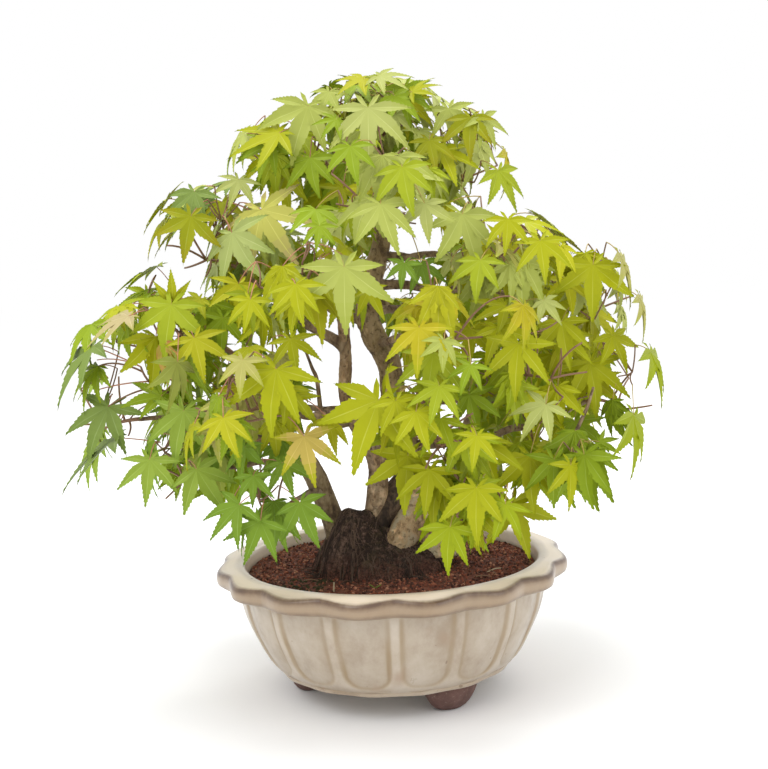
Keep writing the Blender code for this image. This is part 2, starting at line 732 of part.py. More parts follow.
def leader_path(mass, limb_end, heading):
    """The stem inside a mass, from just clear of its limb to just under the mass's middle."""
    root = limb_end + heading * CLEAR
    centre, radii = Vector(MASSES[mass][0]), Vector(MASSES[mass][1])
    goal = centre - Vector((0, 0, 0.2 * radii.z))
    bend = root + heading * 0.5 * (goal - root).length
    path = []
    for i in range(5):
        t = i / 4
        place = root * (1 - t) ** 2 + bend * 2 * t * (1 - t) + goal * t**2
        path.append((place, BOUGH_TIP_RADIUS + (TWIG_RADIUS - BOUGH_TIP_RADIUS) * t))
    return path


def grow_mass(mass, seed, leader, crowd):
    """One stem, with twigs and leaves held out all round it."""
    rng = random.Random(seed)
    sprays, count = [], 0
    ways = list(spread(LEAF_WAYS, rng.uniform(0, math.tau)))
    for way in ways[::3] + ways[1::3] + ways[2::3]:
        for _ in range(LEAF_TRIES):
            if count >= LEAVES_PER_MASS:
                break
            turned = way + Vector([rng.uniform(-0.3, 0.3) for _ in range(3)])
            spray = grow_spray(mass, rng, turned.normalized(), leader, crowd)
            if spray:
                sprays.append(spray[0])
                count += spray[1]
                break
    return joined(tube(leader, 3), sprays)


def build_mound(stems):
    shape = bmesh.new()
    rings = []
    for share in (1.0, 0.93, 0.80, 0.62, 0.42, 0.20):
        points = []
        for i in range(26):
            a = math.tau * i / 26
            lump = 1.0 + 0.06 * math.sin(3 * a + 1.0) + 0.05 * math.sin(7 * a)
            x = MOUND_CENTRE[0] + MOUND_RADII[0] * share * lump * math.cos(a)
            y = MOUND_CENTRE[1] + MOUND_RADII[1] * share * lump * math.sin(a)
            humps = (extra * math.exp(-(((x - place) / width) ** 2)) for place, width, extra in MOUND_HUMPS)
            height = MOUND_HEIGHT + sum(humps)
            bump = 1.0 + 0.08 * math.sin(240 * x) * math.cos(260 * y)
            points.append((x, y, GROUND + height * bump * (1 - share**2) ** 0.6))
        rings.append(ring(shape, points))
    skin(shape, rings)
    bmesh.ops.triangulate(shape, faces=shape.faces)
    return cut(mesh_from(shape), stems)


def build_pots_and_soil():
    glaze = make_material("cream_glaze", (0.60, 0.51, 0.38), 0.3)
    clay = make_material("red_clay", (0.17, 0.08, 0.07), 0.8)
    earth = make_material("soil", (0.13, 0.05, 0.03), 0.95)
    add_object("pot", build_pot(), glaze, 40)
    for name, angle in FOOT_ANGLES.items():
        mesh = build_foot()
        turn = Matrix.Rotation(math.radians(angle), 4, "Z")
        mesh.transform(turn @ Matrix.Translation((0, -FOOT_CIRCLE, 0)))
        add_object(name, mesh, clay, 40)
    add_object("soil", build_soil(), earth, 40)


def build_limbs():
    """The stems, the mound round their feet and the boughs. Gives back where each mass's own
    stem starts and its heading there, and the paths that leaves keep clear of."""
    bark = make_material("bark", (0.20, 0.14, 0.09), 0.85)
    moss = make_material("mossy_roots", (0.03, 0.025, 0.015), 0.95)
    paths = {name: smooth_path(points, 2) for name, points in STEMS.items()}
    below = [
        tube([(path[0][0] - Vector((0, 0, 0.002)), path[0][1]), *path], STEM_SIDES, grow=CLEAR)
        for path in paths.values()
    ]
    add_object("root_mound", build_mound(below), moss, 50)

    place, radius, _ = at_height(paths[STUB["stem"]], STUB["height"])
    toward = Vector(STUB["toward"]).normalized()
    stub = [(place, STUB["radius"] * 1.2), (place + toward * STUB["length"], STUB["radius"])]
    for name, path in paths.items():
        stem = tube(path, STEM_SIDES, flat_foot=True)
        if name == STUB["stem"]:
            stem = joined(stem, [tube(stub, STUB_SIDES)])
        add_object(name, stem, bark, 40)

    clear_of, starts = [(path, STEM_SIDES) for path in [*paths.values(), stub]], {}
    for name, (mass, stem, height, radius, lift) in BOUGHS.items():
        path = bough_path(mass, paths[stem], height, radius, lift)
        cutters = [tube(paths[stem], STEM_SIDES, grow=CLEAR)]
        if stem == STUB["stem"]:
            cutters.append(tube(stub, STUB_SIDES, grow=2 * CLEAR))
        add_object(name, cut(tube(path, BOUGH_SIDES), cutters), bark, 40)
        clear_of.append((path, BOUGH_SIDES))
        starts[mass] = end_of(path)
    for mass, stem in ON_TIP.items():
        starts[mass] = end_of(paths[stem])
    for mass, (stem, height) in ON_SIDE.items():
        place, radius, ahead = at_height(paths[stem], height)
        way = Vector(MASSES[mass][0]) - place
        way = (way - ahead * way.dot(ahead)).normalized()
        starts[mass] = (place + way * radius, way)
    return starts, clear_of


def grow_crown(starts, clear_of):
    leaf = make_material("leaf_green", (0.33, 0.48, 0.04), 0.5)
    crowd = Crowd()
    for path, sides in clear_of:
        crowd.add("limbs", tube(path, sides, grow=2 * CLEAR))
    leaders = {mass: leader_path(mass, *starts[mass]) for mass in MASSES}
    for mass, leader in leaders.items():
        crowd.add(mass + " twigs", tube(leader, 3))
    for number, mass in enumerate(MASSES):
        add_object(mass, grow_mass(mass, SEED + number, leaders[mass], crowd), leaf)


def centre_pieces():
    """Moves all pieces so that the origin is under the middle of the whole plant."""
    pieces = bpy.context.scene.objects
    spots = [vert.co for piece in pieces for vert in piece.data.vertices]
    middle = [(min(spot[i] for spot in spots) + max(spot[i] for spot in spots)) / 2 for i in (0, 1)]
    for piece in pieces:
        piece.data.transform(Matrix.Translation((-middle[0], -middle[1], 0.0)))


clear_scene()
build_pots_and_soil()
grow_crown(*build_limbs())
centre_pieces()
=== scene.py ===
import math
import random

import bmesh
import bpy
import numpy as np
from mathutils import Matrix, Vector, noise
from mathutils.bvhtree import BVHTree


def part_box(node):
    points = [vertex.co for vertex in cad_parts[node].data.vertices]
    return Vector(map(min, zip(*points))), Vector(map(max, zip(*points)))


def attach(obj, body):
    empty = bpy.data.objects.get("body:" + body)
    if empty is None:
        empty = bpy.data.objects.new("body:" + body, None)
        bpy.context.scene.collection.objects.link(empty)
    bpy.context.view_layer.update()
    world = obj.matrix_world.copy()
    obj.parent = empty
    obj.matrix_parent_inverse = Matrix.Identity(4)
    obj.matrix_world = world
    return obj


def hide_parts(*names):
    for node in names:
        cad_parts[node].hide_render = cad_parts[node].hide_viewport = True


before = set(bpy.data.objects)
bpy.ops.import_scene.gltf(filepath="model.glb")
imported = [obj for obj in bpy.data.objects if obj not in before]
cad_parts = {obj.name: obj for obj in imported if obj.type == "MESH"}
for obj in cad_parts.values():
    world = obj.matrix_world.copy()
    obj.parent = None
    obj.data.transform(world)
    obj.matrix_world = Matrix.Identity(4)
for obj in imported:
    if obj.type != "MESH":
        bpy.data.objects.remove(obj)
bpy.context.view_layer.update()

potLow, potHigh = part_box("pot")
potAxis = Vector(((potLow[0] + potHigh[0]) / 2, (potLow[1] + potHigh[1]) / 2, 0.0))
noise.seed_set(2)  # unseeded, noise_vector gives another result each run
print("frame loaded, the pot's axis is at", tuple(round(v, 4) for v in potAxis))

# Everything is made about the pot's upright axis, and finishPiece moves it to its place.


# ---- camera, floor and light

view = {"back": 0.6176, "height": 0.2257, "tipDown": 0.0863, "lean": -0.043, "lens": 51.28}
studio = {  # light name: place, size across and power
    "keyLight": ((-0.9, -1.1, 1.6), 1.2, 11.5),
    "fillLight": ((1.3, -0.9, 0.9), 1.2, 5.0),
    "backLight": ((0.5, 1.4, 1.3), 1.2, 7.0),
    "topLight": ((-0.1, -0.1, 1.9), 0.9, 13.0),
    "world": 1.0,
    "floorNear": (0.90, 0.90, 0.90), "floorFar": (1.0, 1.0, 1.0), "floorReach": 3.0, "nearShare": 0.15,
    "floorSize": 30.0, "lampAim": 0.18,
}


def addNode(finish, kind, settings={}, **inputs):
    # inputs are named as Blender does, with _ for a space, and hold a value or a socket
    node = finish.node_tree.nodes.new(kind)
    for key, value in settings.items():
        setattr(node, key, value)
    for key, value in inputs.items():
        socket = node.inputs[key.replace("_", " ")]
        if isinstance(value, bpy.types.NodeSocket):
            finish.node_tree.links.new(value, socket)
        else:
            socket.default_value = value
    return node


def newFinish(name, colour, roughness, **inputs):
    finish = bpy.data.materials.new(name)
    finish.use_nodes = True
    shader = finish.node_tree.nodes["Principled BSDF"]
    shader.inputs["Base Color"].default_value = (*colour, 1.0)
    shader.inputs["Roughness"].default_value = roughness
    for key, value in inputs.items():
        shader.inputs[key.replace("_", " ")].default_value = value
    return finish


def setShader(finish, key, socket):
    shader = finish.node_tree.nodes["Principled BSDF"]
    finish.node_tree.links.new(socket, shader.inputs[key])


def placeSocket(finish, stretch=(1.0, 1.0, 1.0)):
    place = addNode(finish, "ShaderNodeTexCoord").outputs["Object"]
    return addNode(finish, "ShaderNodeMapping", Vector=place, Scale=stretch).outputs[0]


def noiseSocket(finish, scale, detail=4.0, rough=0.6, stretch=(1.0, 1.0, 1.0)):
    node = addNode(
        finish, "ShaderNodeTexNoise",
        Vector=placeSocket(finish, stretch), Scale=scale, Detail=detail, Roughness=rough,
    )
    return node.outputs[0]


def rampSocket(finish, factor, stops):
    # stops are places from 0 to 1 with a grey level or a colour at each
    ramp = addNode(finish, "ShaderNodeValToRGB", Fac=factor)
    for i, (place, colour) in enumerate(stops):
        colour = (colour,) * 3 if isinstance(colour, float) else colour
        stop = ramp.color_ramp.elements[i] if i < 2 else ramp.color_ramp.elements.new(place)
        stop.position = place
        stop.color = (*colour, 1.0)
    return ramp.outputs[0]


def mixSocket(finish, factor, first, second, way="MIX"):
    mix = addNode(finish, "ShaderNodeMix", {"data_type": "RGBA", "blend_type": way})
    for place, value in ((0, factor), (6, first), (7, second)):
        if isinstance(value, bpy.types.NodeSocket):
            finish.node_tree.links.new(value, mix.inputs[place])
        else:
            mix.inputs[place].default_value = (*value, 1.0) if isinstance(value, tuple) else value
    return mix.outputs[2]


def mathSocket(finish, way, first, second=0.0):
    node = addNode(finish, "ShaderNodeMath", {"operation": way, "use_clamp": way != "MULTIPLY"})
    for socket, value in zip(node.inputs, (first, second)):
        if isinstance(value, bpy.types.NodeSocket):
            finish.node_tree.links.new(value, socket)
        else:
            socket.default_value = value
    return node.outputs[0]


def attributeSocket(finish, name):
    return addNode(finish, "ShaderNodeAttribute", {"attribute_name": name}).outputs["Fac"]


def grainSocket(finish, grain, *stops):
    # a ramp over noise, which is given as its scale, detail, roughness and perhaps a stretch
    return rampSocket(finish, noiseSocket(finish, *grain), stops)


def overlaid(finish, base, *layers):
    # lays colours over a base, each where an attribute, a ramp over noise or both are high
    for colour, name, *grain in layers:
        mask = attributeSocket(finish, name) if name else None
        if grain:
            worn = grainSocket(finish, *grain)
            mask = mathSocket(finish, "MULTIPLY", mask, worn) if name else worn
        base = mixSocket(finish, mask, base, colour)
    return base


def heightSocket(finish, scale, more=0.0):
    # the height above the ground, with more added, times a scale
    place = addNode(finish, "ShaderNodeTexCoord").outputs["Object"]
    height = addNode(finish, "ShaderNodeSeparateXYZ", Vector=place).outputs["Z"]
    if more:
        height = mathSocket(finish, "ADD", height, more)
    return mathSocket(finish, "MULTIPLY", height, scale)


def addBump(finish, distance, strength, *grain):
    bump = addNode(
        finish, "ShaderNodeBump", Height=noiseSocket(finish, *grain), Distance=distance, Strength=strength
    )
    setShader(finish, "Normal", bump.outputs[0])


def makeStudio():
    camera = bpy.data.objects.new("camera", bpy.data.cameras.new("camera"))
    camera.data.sensor_width = 36.0
    camera.data.sensor_fit = "HORIZONTAL"
    camera.data.lens = view["lens"]
    turn = Matrix.Rotation(math.pi / 2 - view["tipDown"], 4, "X") @ Matrix.Rotation(view["lean"], 4, "Z")
    camera.matrix_world = Matrix.Translation(potAxis + Vector((0, -view["back"], view["height"]))) @ turn
    bpy.context.scene.collection.objects.link(camera)
    bpy.context.scene.camera = camera

    for name in ("keyLight", "fillLight", "backLight", "topLight"):
        place, size, power = studio[name]
        lamp = bpy.data.lights.new(name, "AREA")
        lamp.shape = "DISK"
        lamp.size = size
        lamp.energy = power
        light = bpy.data.objects.new(name, lamp)
        light.location = place
        ahead = Vector((0, 0, studio["lampAim"])) - light.location
        light.rotation_euler = ahead.to_track_quat("-Z", "Y").to_euler()
        bpy.context.scene.collection.objects.link(light)

    world = bpy.data.worlds.new("studio")
    world.use_nodes = True
    world.node_tree.nodes["Background"].inputs["Color"].default_value = (1.0, 1.0, 1.0, 1.0)
    world.node_tree.nodes["Background"].inputs["Strength"].default_value = studio["world"]
    bpy.context.scene.world = world
    bpy.context.scene.view_settings.view_transform = "Standard"

    shape = bmesh.new()
    bmesh.ops.create_grid(shape, x_segments=1, y_segments=1, size=studio["floorSize"])
    mesh = bpy.data.meshes.new("floor")
    shape.to_mesh(mesh)
    shape.free()
    floor = bpy.data.objects.new("floor", mesh)
    paper = newFinish("palePaper", studio["floorNear"], 0.7, Specular_IOR_Level=0.0)
    far = addNode(paper, "ShaderNodeVectorMath", {"operation": "LENGTH"}, Vector=placeSocket(paper))
    far = mathSocket(paper, "MULTIPLY", far.outputs["Value"], 1 / studio["floorReach"])
    tone = rampSocket(paper, far, [(studio["nearShare"], studio["floorNear"]), (1.0, studio["floorFar"])])
    setShader(paper, "Base Color", tone)
    mesh.materials.append(paper)
    bpy.context.scene.collection.objects.link(floor)


def finishPiece(name, mesh, finishes, standsFor=(), sharpAngle=60):
    # puts a bmesh or a mesh in its place and has it ride with the frame
    if isinstance(mesh, bmesh.types.BMesh):
        shape, mesh = mesh, bpy.data.meshes.new(name)
        shape.to_mesh(mesh)
        shape.free()
    mesh.transform(Matrix.Translation(potAxis))
    mesh.shade_smooth()
    mesh.set_sharp_from_angle(angle=math.radians(sharpAngle))
    for finish in finishes:
        mesh.materials.append(finish)
    piece = bpy.data.objects.new(name, mesh)
    bpy.context.scene.collection.objects.link(piece)
    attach(piece, "root")
    if standsFor:
        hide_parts(*standsFor)


def only(kind, things):
    return [thing for thing in things if isinstance(thing, kind)]


def spunShape(profile, steps):
    # a closed form: places as (radius, z), spun about the upright axis
    shape = bmesh.new()
    points = [shape.verts.new((0, -radius, z)) for radius, z in profile]
    edges = [shape.edges.new(pair) for pair in zip(points, points[1:])]
    bmesh.ops.spin(
        shape, geom=points + edges, axis=(0, 0, 1), cent=(0, 0, 0), angle=math.tau, steps=steps,
        use_merge=True,
    )
    bmesh.ops.remove_doubles(shape, verts=shape.verts, dist=0.00002)
    return shape


def extrudedRings(frames, sides):
    # a closed form: a circle of radius 1 put at the first frame and extruded from frame to frame
    shape = bmesh.new()
    ring = bmesh.ops.create_circle(shape, segments=sides, radius=1.0)["verts"]
    firstEdges = edges = list(shape.edges)
    bmesh.ops.transform(shape, matrix=frames[0], verts=ring)
    for last, here in zip(frames, frames[1:]):
        grown = bmesh.ops.extrude_edge_only(shape, edges=edges)["geom"]
        ring = only(bmesh.types.BMVert, grown)
        inRing = set(ring)
        edges = [edge for edge in only(bmesh.types.BMEdge, grown) if inRing.issuperset(edge.verts)]
        bmesh.ops.transform(shape, matrix=here @ last.inverted(), verts=ring)
    bmesh.ops.holes_fill(shape, edges=firstEdges + edges, sides=0)
    bmesh.ops.recalc_face_normals(shape, faces=shape.faces)
    return shape


def cloudy(place, scale, octaves=3):
    return noise.fractal(place * scale, 1.0, 2.0, octaves)


def bell(value, middle, width):
    return math.exp(-(((value - middle) / width) ** 2))


def clamped(value, least=0.0):
    return min(1.0, max(least, value))


# ---- the pot: a round body of sixteen panels under a lobed rim

potForm = {
    "lobes": 16,
    "stepsPerLobe": 36,
    "rowsBetween": 3,
    "bulge": 0.0013,       # how far a panel swells between its ribs
    "ribHeight": 0.0014,
    "ribHalf": 0.0027,     # half the width of the flat strip between two panels
    "panelFoot": 0.0212,   # where the panels' rounded lower ends stand
    "panelCorner": 0.0085,
    "rimLobe": 0.0038,     # how far a lobe of the rim stands out past the notches
    "rimDip": 0.0013,      # and how far its edge hangs below them
    "lipDrop": 0.0026,     # how far the lip's lower edge hangs all the way round
    "ribEdge": 0.00035,    # how softly a rib falls to its panel
    "footSwell": 0.0010,
    "body": (0.0176, 0.0662),  # where the panelled body begins and ends
    "fades": (9, 1.04, 7),     # how fast the panels begin at the foot and end under the rim
    "wall": (0.0655, 0.0660),  # least radius and greatest height of the body's own vertices
    "rimFrom": (0.0880, 0.0670), "rimReach": (0.0072, 0.0075),
    "rimEdge": (0.0945, 0.0749),
    "throat": 0.0700,
    "wobble": (0.00035, 30.0),
    "outside": [  # radius and height up the outside from the middle of the underside, in tenths of a mm
        (0, 168), (300, 168), (580, 168), (608, 160), (632, 151), (655, 151), (672, 157), (678, 166),
        (680, 176), (690, 188), (706, 210), (725, 238), (744, 270), (762, 302), (778, 336), (793, 370),
        (808, 405), (822, 440), (834, 475), (844, 510), (853, 550), (860, 585), (866, 618), (873, 642),
        (884, 658),
    ],
    "rim": [  # the same over the rim, which follows the lobes
        (902, 667), (926, 670), (942, 676), (952, 687), (957, 701), (959, 714), (958, 726), (955, 736),
        (950, 744), (943, 749), (934, 752), (915, 753), (893, 753), (872, 753),
    ],
    "inside": [  # and down into the pot
        (856, 752), (845, 748), (837, 740), (832, 726), (828, 700), (818, 670), (800, 580), (775, 460),
        (600, 215), (0, 205),
    ],
}


def lobeAt(angle):
    swell = 0.5 - 0.5 * math.cos(potForm["lobes"] * angle)
    return 0.7 * swell + 0.3 * abs(math.sin(0.5 * potForm["lobes"] * angle))


def insidePanel(angle, radius, z):
    # how far a place of the body lies inside its panel, or outside it where this is negative
    step = potForm["lobes"] * angle / math.tau
    away = abs(step - round(step)) * math.tau / potForm["lobes"] * radius
    across, up = away - potForm["ribHalf"], z - potForm["panelFoot"]
    corner = potForm["panelCorner"]
    if across < corner and up < corner:
        return corner - math.hypot(corner - across, corner - up)
    return min(across, up)


glazeForm = {
    "body": ((0.34, (0.320, 0.250, 0.180)), (0.50, (0.420, 0.350, 0.270)), (0.66, (0.490, 0.425, 0.345))),
    # the first colour is a tan line along each panel's edge together with painted shade beside the ribs and
    # under the rim
    # the top colour is the rim's pale glaze together with painted light where light falls on it from above
    "streak": (0.30, 0.215, 0.120), "tan": (0.315, 0.210, 0.112), "top": (1.0, 0.84, 0.66),
    "brown": (0.095, 0.050, 0.030), "stain": (0.33, 0.22, 0.14), "speck": (0.20, 0.13, 0.08),
    "line": (0.0007, 0.0011),      # where in from a panel's edge its tan line runs, and how wide
    "lineFade": (0.0190, 0.0140, 0.45),
    "shade": (0.65, 0.0040),       # strength and reach of the painted shade inside the line, in the hollow beside each rib
    # painted shade on the body just under the rim's overhang
    "underRim": (0.55, 0.86, 7),
    "ribTop": 0.05, "ribTan": 0.35,
    "waver": (0.0007, 38.0),       # how the marks at the rim's edge waver
    "topEdge": (0.0004, 0.0012),
    "brownLine": (0.0014, 0.0022), "brownFrom": 0.0685,
    "lowLine": (0.6, 0.0684, 0.0013),
    "tanLine": (0.95, 0.0016, 0.0036), "tanBelow": (0.002, 0.72),
    "throatTop": 0.6,
}


def glazeFinish():
    finish = newFinish("creamGlaze", (0.6, 0.5, 0.38), 0.3, Coat_Weight=0.35, Coat_Roughness=0.22)
    cloud = noiseSocket(finish, 38.0, 6.0, 0.68, (1.0, 1.0, 0.7))
    base = overlaid(
        finish, rampSocket(finish, cloud, glazeForm["body"]),
        # painted shade beside the ribs and under the rim, laid over the tan lines along the panels' edges
        (glazeForm["streak"], "streak", (60.0, 3.0, 0.5, (1.0, 1.0, 0.35)), (0.30, 0.35), (0.62, 1.0)),
        (glazeForm["tan"], "tan"),
        # the rim's pale top: its glaze together with painted light from above
        (glazeForm["top"], "top"),
        (glazeForm["brown"], "brown", (170.0, 3.0, 0.6), (0.25, 0.55), (0.6, 1.0)),
        (glazeForm["stain"], "body", (48.0, 2.0, 0.5, (1.0, 1.0, 0.7)), (0.62, 0.0), (0.74, 0.6)),
        (glazeForm["speck"], None, (240.0, 1.0, 0.4), (0.76, 0.0), (0.80, 0.75)),
    )
    setShader(finish, "Base Color", base)
    setShader(finish, "Roughness", rampSocket(finish, cloud, [(0.3, 0.42), (0.7, 0.27)]))
    addBump(finish, 0.0004, 0.5, 130.0, 3.0, 0.5)
    return finish


def panelMarks(angle, radius, z, lobe):
    # how far the body stands out here, and the glaze's marks on it, with painted shade beside the ribs and
    # under the rim
    low, high = potForm["body"]
    fast, end, slow = potForm["fades"]
    share = (z - low) / (high - low)
    full = clamped(share * fast) * clamped((end - share) * slow)
    deep = insidePanel(angle, radius, z)
    rib = 1 / (1 + math.exp(deep / potForm["ribEdge"]))
    grown = full * (potForm["bulge"] * lobe + potForm["ribHeight"] * rib)
    if z < low + 0.0001:
        grown += potForm["footSwell"] * lobe
    foot, rise, least = glazeForm["lineFade"]
    line = bell(deep, *glazeForm["line"]) * clamped((z - foot) / rise, least)
    # painted shade fading into the panel from the hollow beside each rib
    strength, reach = glazeForm["shade"]
    shade = strength * math.exp(-max(0.0, deep) / reach) * (1 - rib)
    # painted shade under the rim, joined to the tan line and the painted shade beside the ribs
    strength, start, rise = glazeForm["underRim"]
    streak = max(full * min(1.0, 1.1 * line + shade), strength * max(0.0, share - start) * rise)
    tan = glazeForm["ribTan"] * rib * max(0.0, 1 - abs(share) * fast)
    return grown, {"streak": streak, "top": glazeForm["ribTop"] * full * rib, "body": full, "tan": tan}


def rimMarks(place, radius, lobe):
    # how far the rim stands out and hangs here, and the glaze's marks on it, with painted light on the rim's
    # top
    out = min(1.0, (radius - potForm["rimFrom"][0]) / potForm["rimReach"][0])
    high = clamped((place.z - potForm["rimFrom"][1]) / potForm["rimReach"][1])
    grown = potForm["rimLobe"] * lobe * out**0.8
    drop = -out * (potForm["rimDip"] * lobe * high + potForm["lipDrop"] * (1 - high))
    edge, top = potForm["rimEdge"]
    waver, scale = glazeForm["waver"]
    over = (radius - edge) - (place.z - top) + waver * cloudy(place, scale)
    start, width = glazeForm["topEdge"]
    brown = bell(over, *glazeForm["brownLine"]) if place.z > glazeForm["brownFrom"] else 0.0
    strength, *line = glazeForm["lowLine"]
    brown = max(brown, strength * bell(place.z, *line))
    strength, *line = glazeForm["tanLine"]
    below, least = glazeForm["tanBelow"]
    tan = max(strength * bell(over, *line), least if over > below else 0.0)
    # the rim's top is painted pale, for its glaze and for the light that falls on it from above
    return grown, drop, {"top": clamped((start - over) / width), "brown": brown, "tan": tan}


def makePot():
    outside, rim, inside = (
        [(r / 10000, z / 10000) for r, z in potForm[part]] for part in ("outside", "rim", "inside")
    )
    rows = outside[:3]
    for (r0, z0), (r1, z1) in zip(outside[2:], outside[3:] + rim[:1]):
        count = potForm["rowsBetween"]
        rows += [(r0 + (r1 - r0) * i / count, z0 + (z1 - z0) * i / count) for i in range(1, count + 1)]
    shape = spunShape(rows + rim[1:] + inside, potForm["lobes"] * potForm["stepsPerLobe"])
    names = ("streak", "tan", "brown", "top", "body")
    for name in names:
        shape.verts.layers.float.new(name)
    layers = {name: shape.verts.layers.float[name] for name in names}
    wallRadius, wallTop = potForm["wall"]
    size, scale = potForm["wobble"]
    for vert in shape.verts:
        radius, z = math.hypot(vert.co.x, vert.co.y), vert.co.z
        angle = math.atan2(vert.co.x, -vert.co.y)
        grown, drop, marks = 0.0, 0.0, {}
        if radius > wallRadius and z <= wallTop:
            grown, marks = panelMarks(angle, radius, z, lobeAt(angle))
        elif z > wallTop and radius > potForm["rimFrom"][0]:
            grown, drop, marks = rimMarks(vert.co, radius, lobeAt(angle))
        elif z > potForm["throat"]:
            # the throat's rounded edge takes part of the rim top's pale paint, painted light included
            marks = {"top": glazeForm["throatTop"]}
        for name, mark in marks.items():
            vert[layers[name]] = mark
        wobble = size * cloudy(vert.co, scale)
        if radius > 0.001:
            vert.co.x += math.sin(angle) * (grown + wobble)
            vert.co.y -= math.cos(angle) * (grown + wobble)
        vert.co.z += drop
    bmesh.ops.recalc_face_normals(shape, faces=shape.faces)
    finishPiece("pot_glazed", shape, [glazeFinish()], ["pot"], 70)
    print("pot made")


# ---- three clay feet under it

footForm = {
    "circle": 0.051,       # how far from the pot's axis the feet stand
    "depth": 0.72,         # a foot's depth as a share of its width
    "lumps": 0.06, "flatBelow": 0.0004,
    "rings": [
        (0.0066, 0.0), (0.0082, 0.0003), (0.0100, 0.0013), (0.0117, 0.0030), (0.0132, 0.0052),
        (0.0146, 0.0078), (0.0157, 0.0104), (0.0166, 0.0130), (0.0172, 0.0156),
    ],
    "angles": {"foot_front": 33.75, "foot_back": 153.75, "foot_left": 273.75},
}


def clayFinish():
    finish = newFinish("redClay", (0.17, 0.08, 0.07), 0.85)
    base = grainSocket(finish, (120.0, 5.0, 0.7), (0.3, (0.075, 0.038, 0.030)), (0.7, (0.170, 0.090, 0.074)))
    grit = ((0.30, 0.22, 0.18), None, (900.0, 2.0, 0.5), (0.62, 0.0), (0.72, 0.45))
    setShader(finish, "Base Color", overlaid(finish, base, grit))
    addBump(finish, 0.0006, 0.8, 500.0, 4.0, 0.7)
    return finish


def makeFeet():
    clay = clayFinish()
    for name, angle in footForm["angles"].items():
        frames = [
            Matrix.Translation((0, 0, z)) @ Matrix.Diagonal((radius, radius * footForm["depth"], 1, 1))
            for radius, z in footForm["rings"]
        ]
        shape = extrudedRings(frames, 40)
        for vert in shape.verts:
            if vert.co.z > footForm["flatBelow"]:
                lump = footForm["lumps"] * cloudy(vert.co + Vector((angle, 0, 0)), 90.0)
                vert.co += Vector((vert.co.x, vert.co.y, 0)) * lump
        turn = Matrix.Rotation(math.radians(angle), 4, "Z")
        bmesh.ops.transform(
            shape, matrix=turn @ Matrix.Translation((0, -footForm["circle"], 0)), verts=shape.verts
        )
        finishPiece(name + "_clay", shape, [clay], [name], 40)
    print("feet made")


# ---- soil, with loose crumbs on it

soilForm = {
    "top": 0.0690,
    "edge": 0.0815,
    "edgeDrop": 0.0014,
    "lumps": 0.0012,
    "crumbs": 7500,
    "crumbSize": (0.0004, 0.0014),
    "steps": 44, "spin": 160,
    "under": [(0.0800, 0.0600), (0.0765, 0.0460), (0.0590, 0.0222), (0.0, 0.0218)],
    "mossAt": (-0.047, -0.040), "mossReach": (0.012, 0.004), "mossShare": 0.8,
    "litterArch": 0.12,
    "colours": [
        (0.270, 0.082, 0.044), (0.170, 0.052, 0.030), (0.360, 0.125, 0.070), (0.070, 0.027, 0.018),
        (0.460, 0.215, 0.130), (0.045, 0.042, 0.014),
    ],
}


def soilHeight(x, y):
    place = Vector((x, y, 0.0))
    share = place.length / soilForm["edge"]
    lump = soilForm["lumps"] * (cloudy(place, 60.0, 4) + 0.5 * cloudy(place, 300.0, 2))
    return soilForm["top"] + 0.0006 - soilForm["edgeDrop"] * share**4 + lump * (1 - 0.5 * share**8)


def soilFinish():
    finish = newFinish("redSoil", (0.13, 0.05, 0.03), 0.95)
    base = grainSocket(
        finish, (160.0, 6.0, 0.7),
        (0.32, (0.060, 0.024, 0.015)), (0.50, (0.180, 0.060, 0.036)), (0.70, (0.320, 0.125, 0.075)),
    )
    damp = ((0.075, 0.030, 0.020), None, (30.0, 3.0, 0.5), (0.45, 0.0), (0.7, 0.6))
    setShader(finish, "Base Color", overlaid(finish, base, damp))
    addBump(finish, 0.0010, 1.0, 700.0, 4.0, 0.7)
    return finish


def placedCopies(vertices, faces, transforms, kinds):
    # joins many copies of one small form into a mesh, each with its own material number
    count, size = len(transforms), len(vertices)
    points = np.concatenate([vertices, np.ones((size, 1))], axis=1)
    placed = np.concatenate([points @ np.array(m).T[:, :3] for m in transforms])
    faces = [tuple(i + size * n for i in face) for n in range(count) for face in faces]
    mesh = bpy.data.meshes.new("copies")
    mesh.from_pydata(placed.tolist(), [], faces)
    numbers = np.concatenate([np.full(len(faces) // count, kind) for kind in kinds])
    mesh.polygons.foreach_set("material_index", numbers.astype(np.int32))
    return mesh


def smallForm(subdivisions):
    shape = bmesh.new()
    bmesh.ops.create_icosphere(shape, subdivisions=subdivisions, radius=1.0)
    vertices = np.array([vert.co for vert in shape.verts])
    faces = [tuple(vert.index for vert in face.verts) for face in shape.faces]
    shape.free()
    return vertices, faces


litter = [  # small straws, sticks and sprigs on the soil: start, end, radius, kind
    ((-0.0310, -0.0550, 0.0692), (-0.0306, -0.0552, 0.0742), 0.00055, 0),
    ((-0.0090, -0.0530, 0.0694), (-0.0060, -0.0545, 0.0716), 0.00045, 1),
    ((-0.0095, -0.0530, 0.0694), (-0.0120, -0.0548, 0.0720), 0.00040, 1),
    ((-0.0085, -0.0535, 0.0694), (-0.0082, -0.0560, 0.0712), 0.00040, 1),
    ((0.0520, -0.0310, 0.0698), (0.0600, -0.0260, 0.0703), 0.00040, 0),
    ((0.0560, -0.0360, 0.0700), (0.0530, -0.0280, 0.0705), 0.00035, 2),
    ((0.0450, -0.0400, 0.0699), (0.0530, -0.0430, 0.0704), 0.00040, 2),
    ((-0.0480, -0.0330, 0.0699), (-0.0400, -0.0360, 0.0704), 0.00040, 2),
    ((-0.0220, 0.0480, 0.0699), (-0.0150, 0.0430, 0.0705), 0.00045, 0),
    ((0.0300, 0.0450, 0.0699), (0.0380, 0.0480, 0.0704), 0.00040, 2),
]


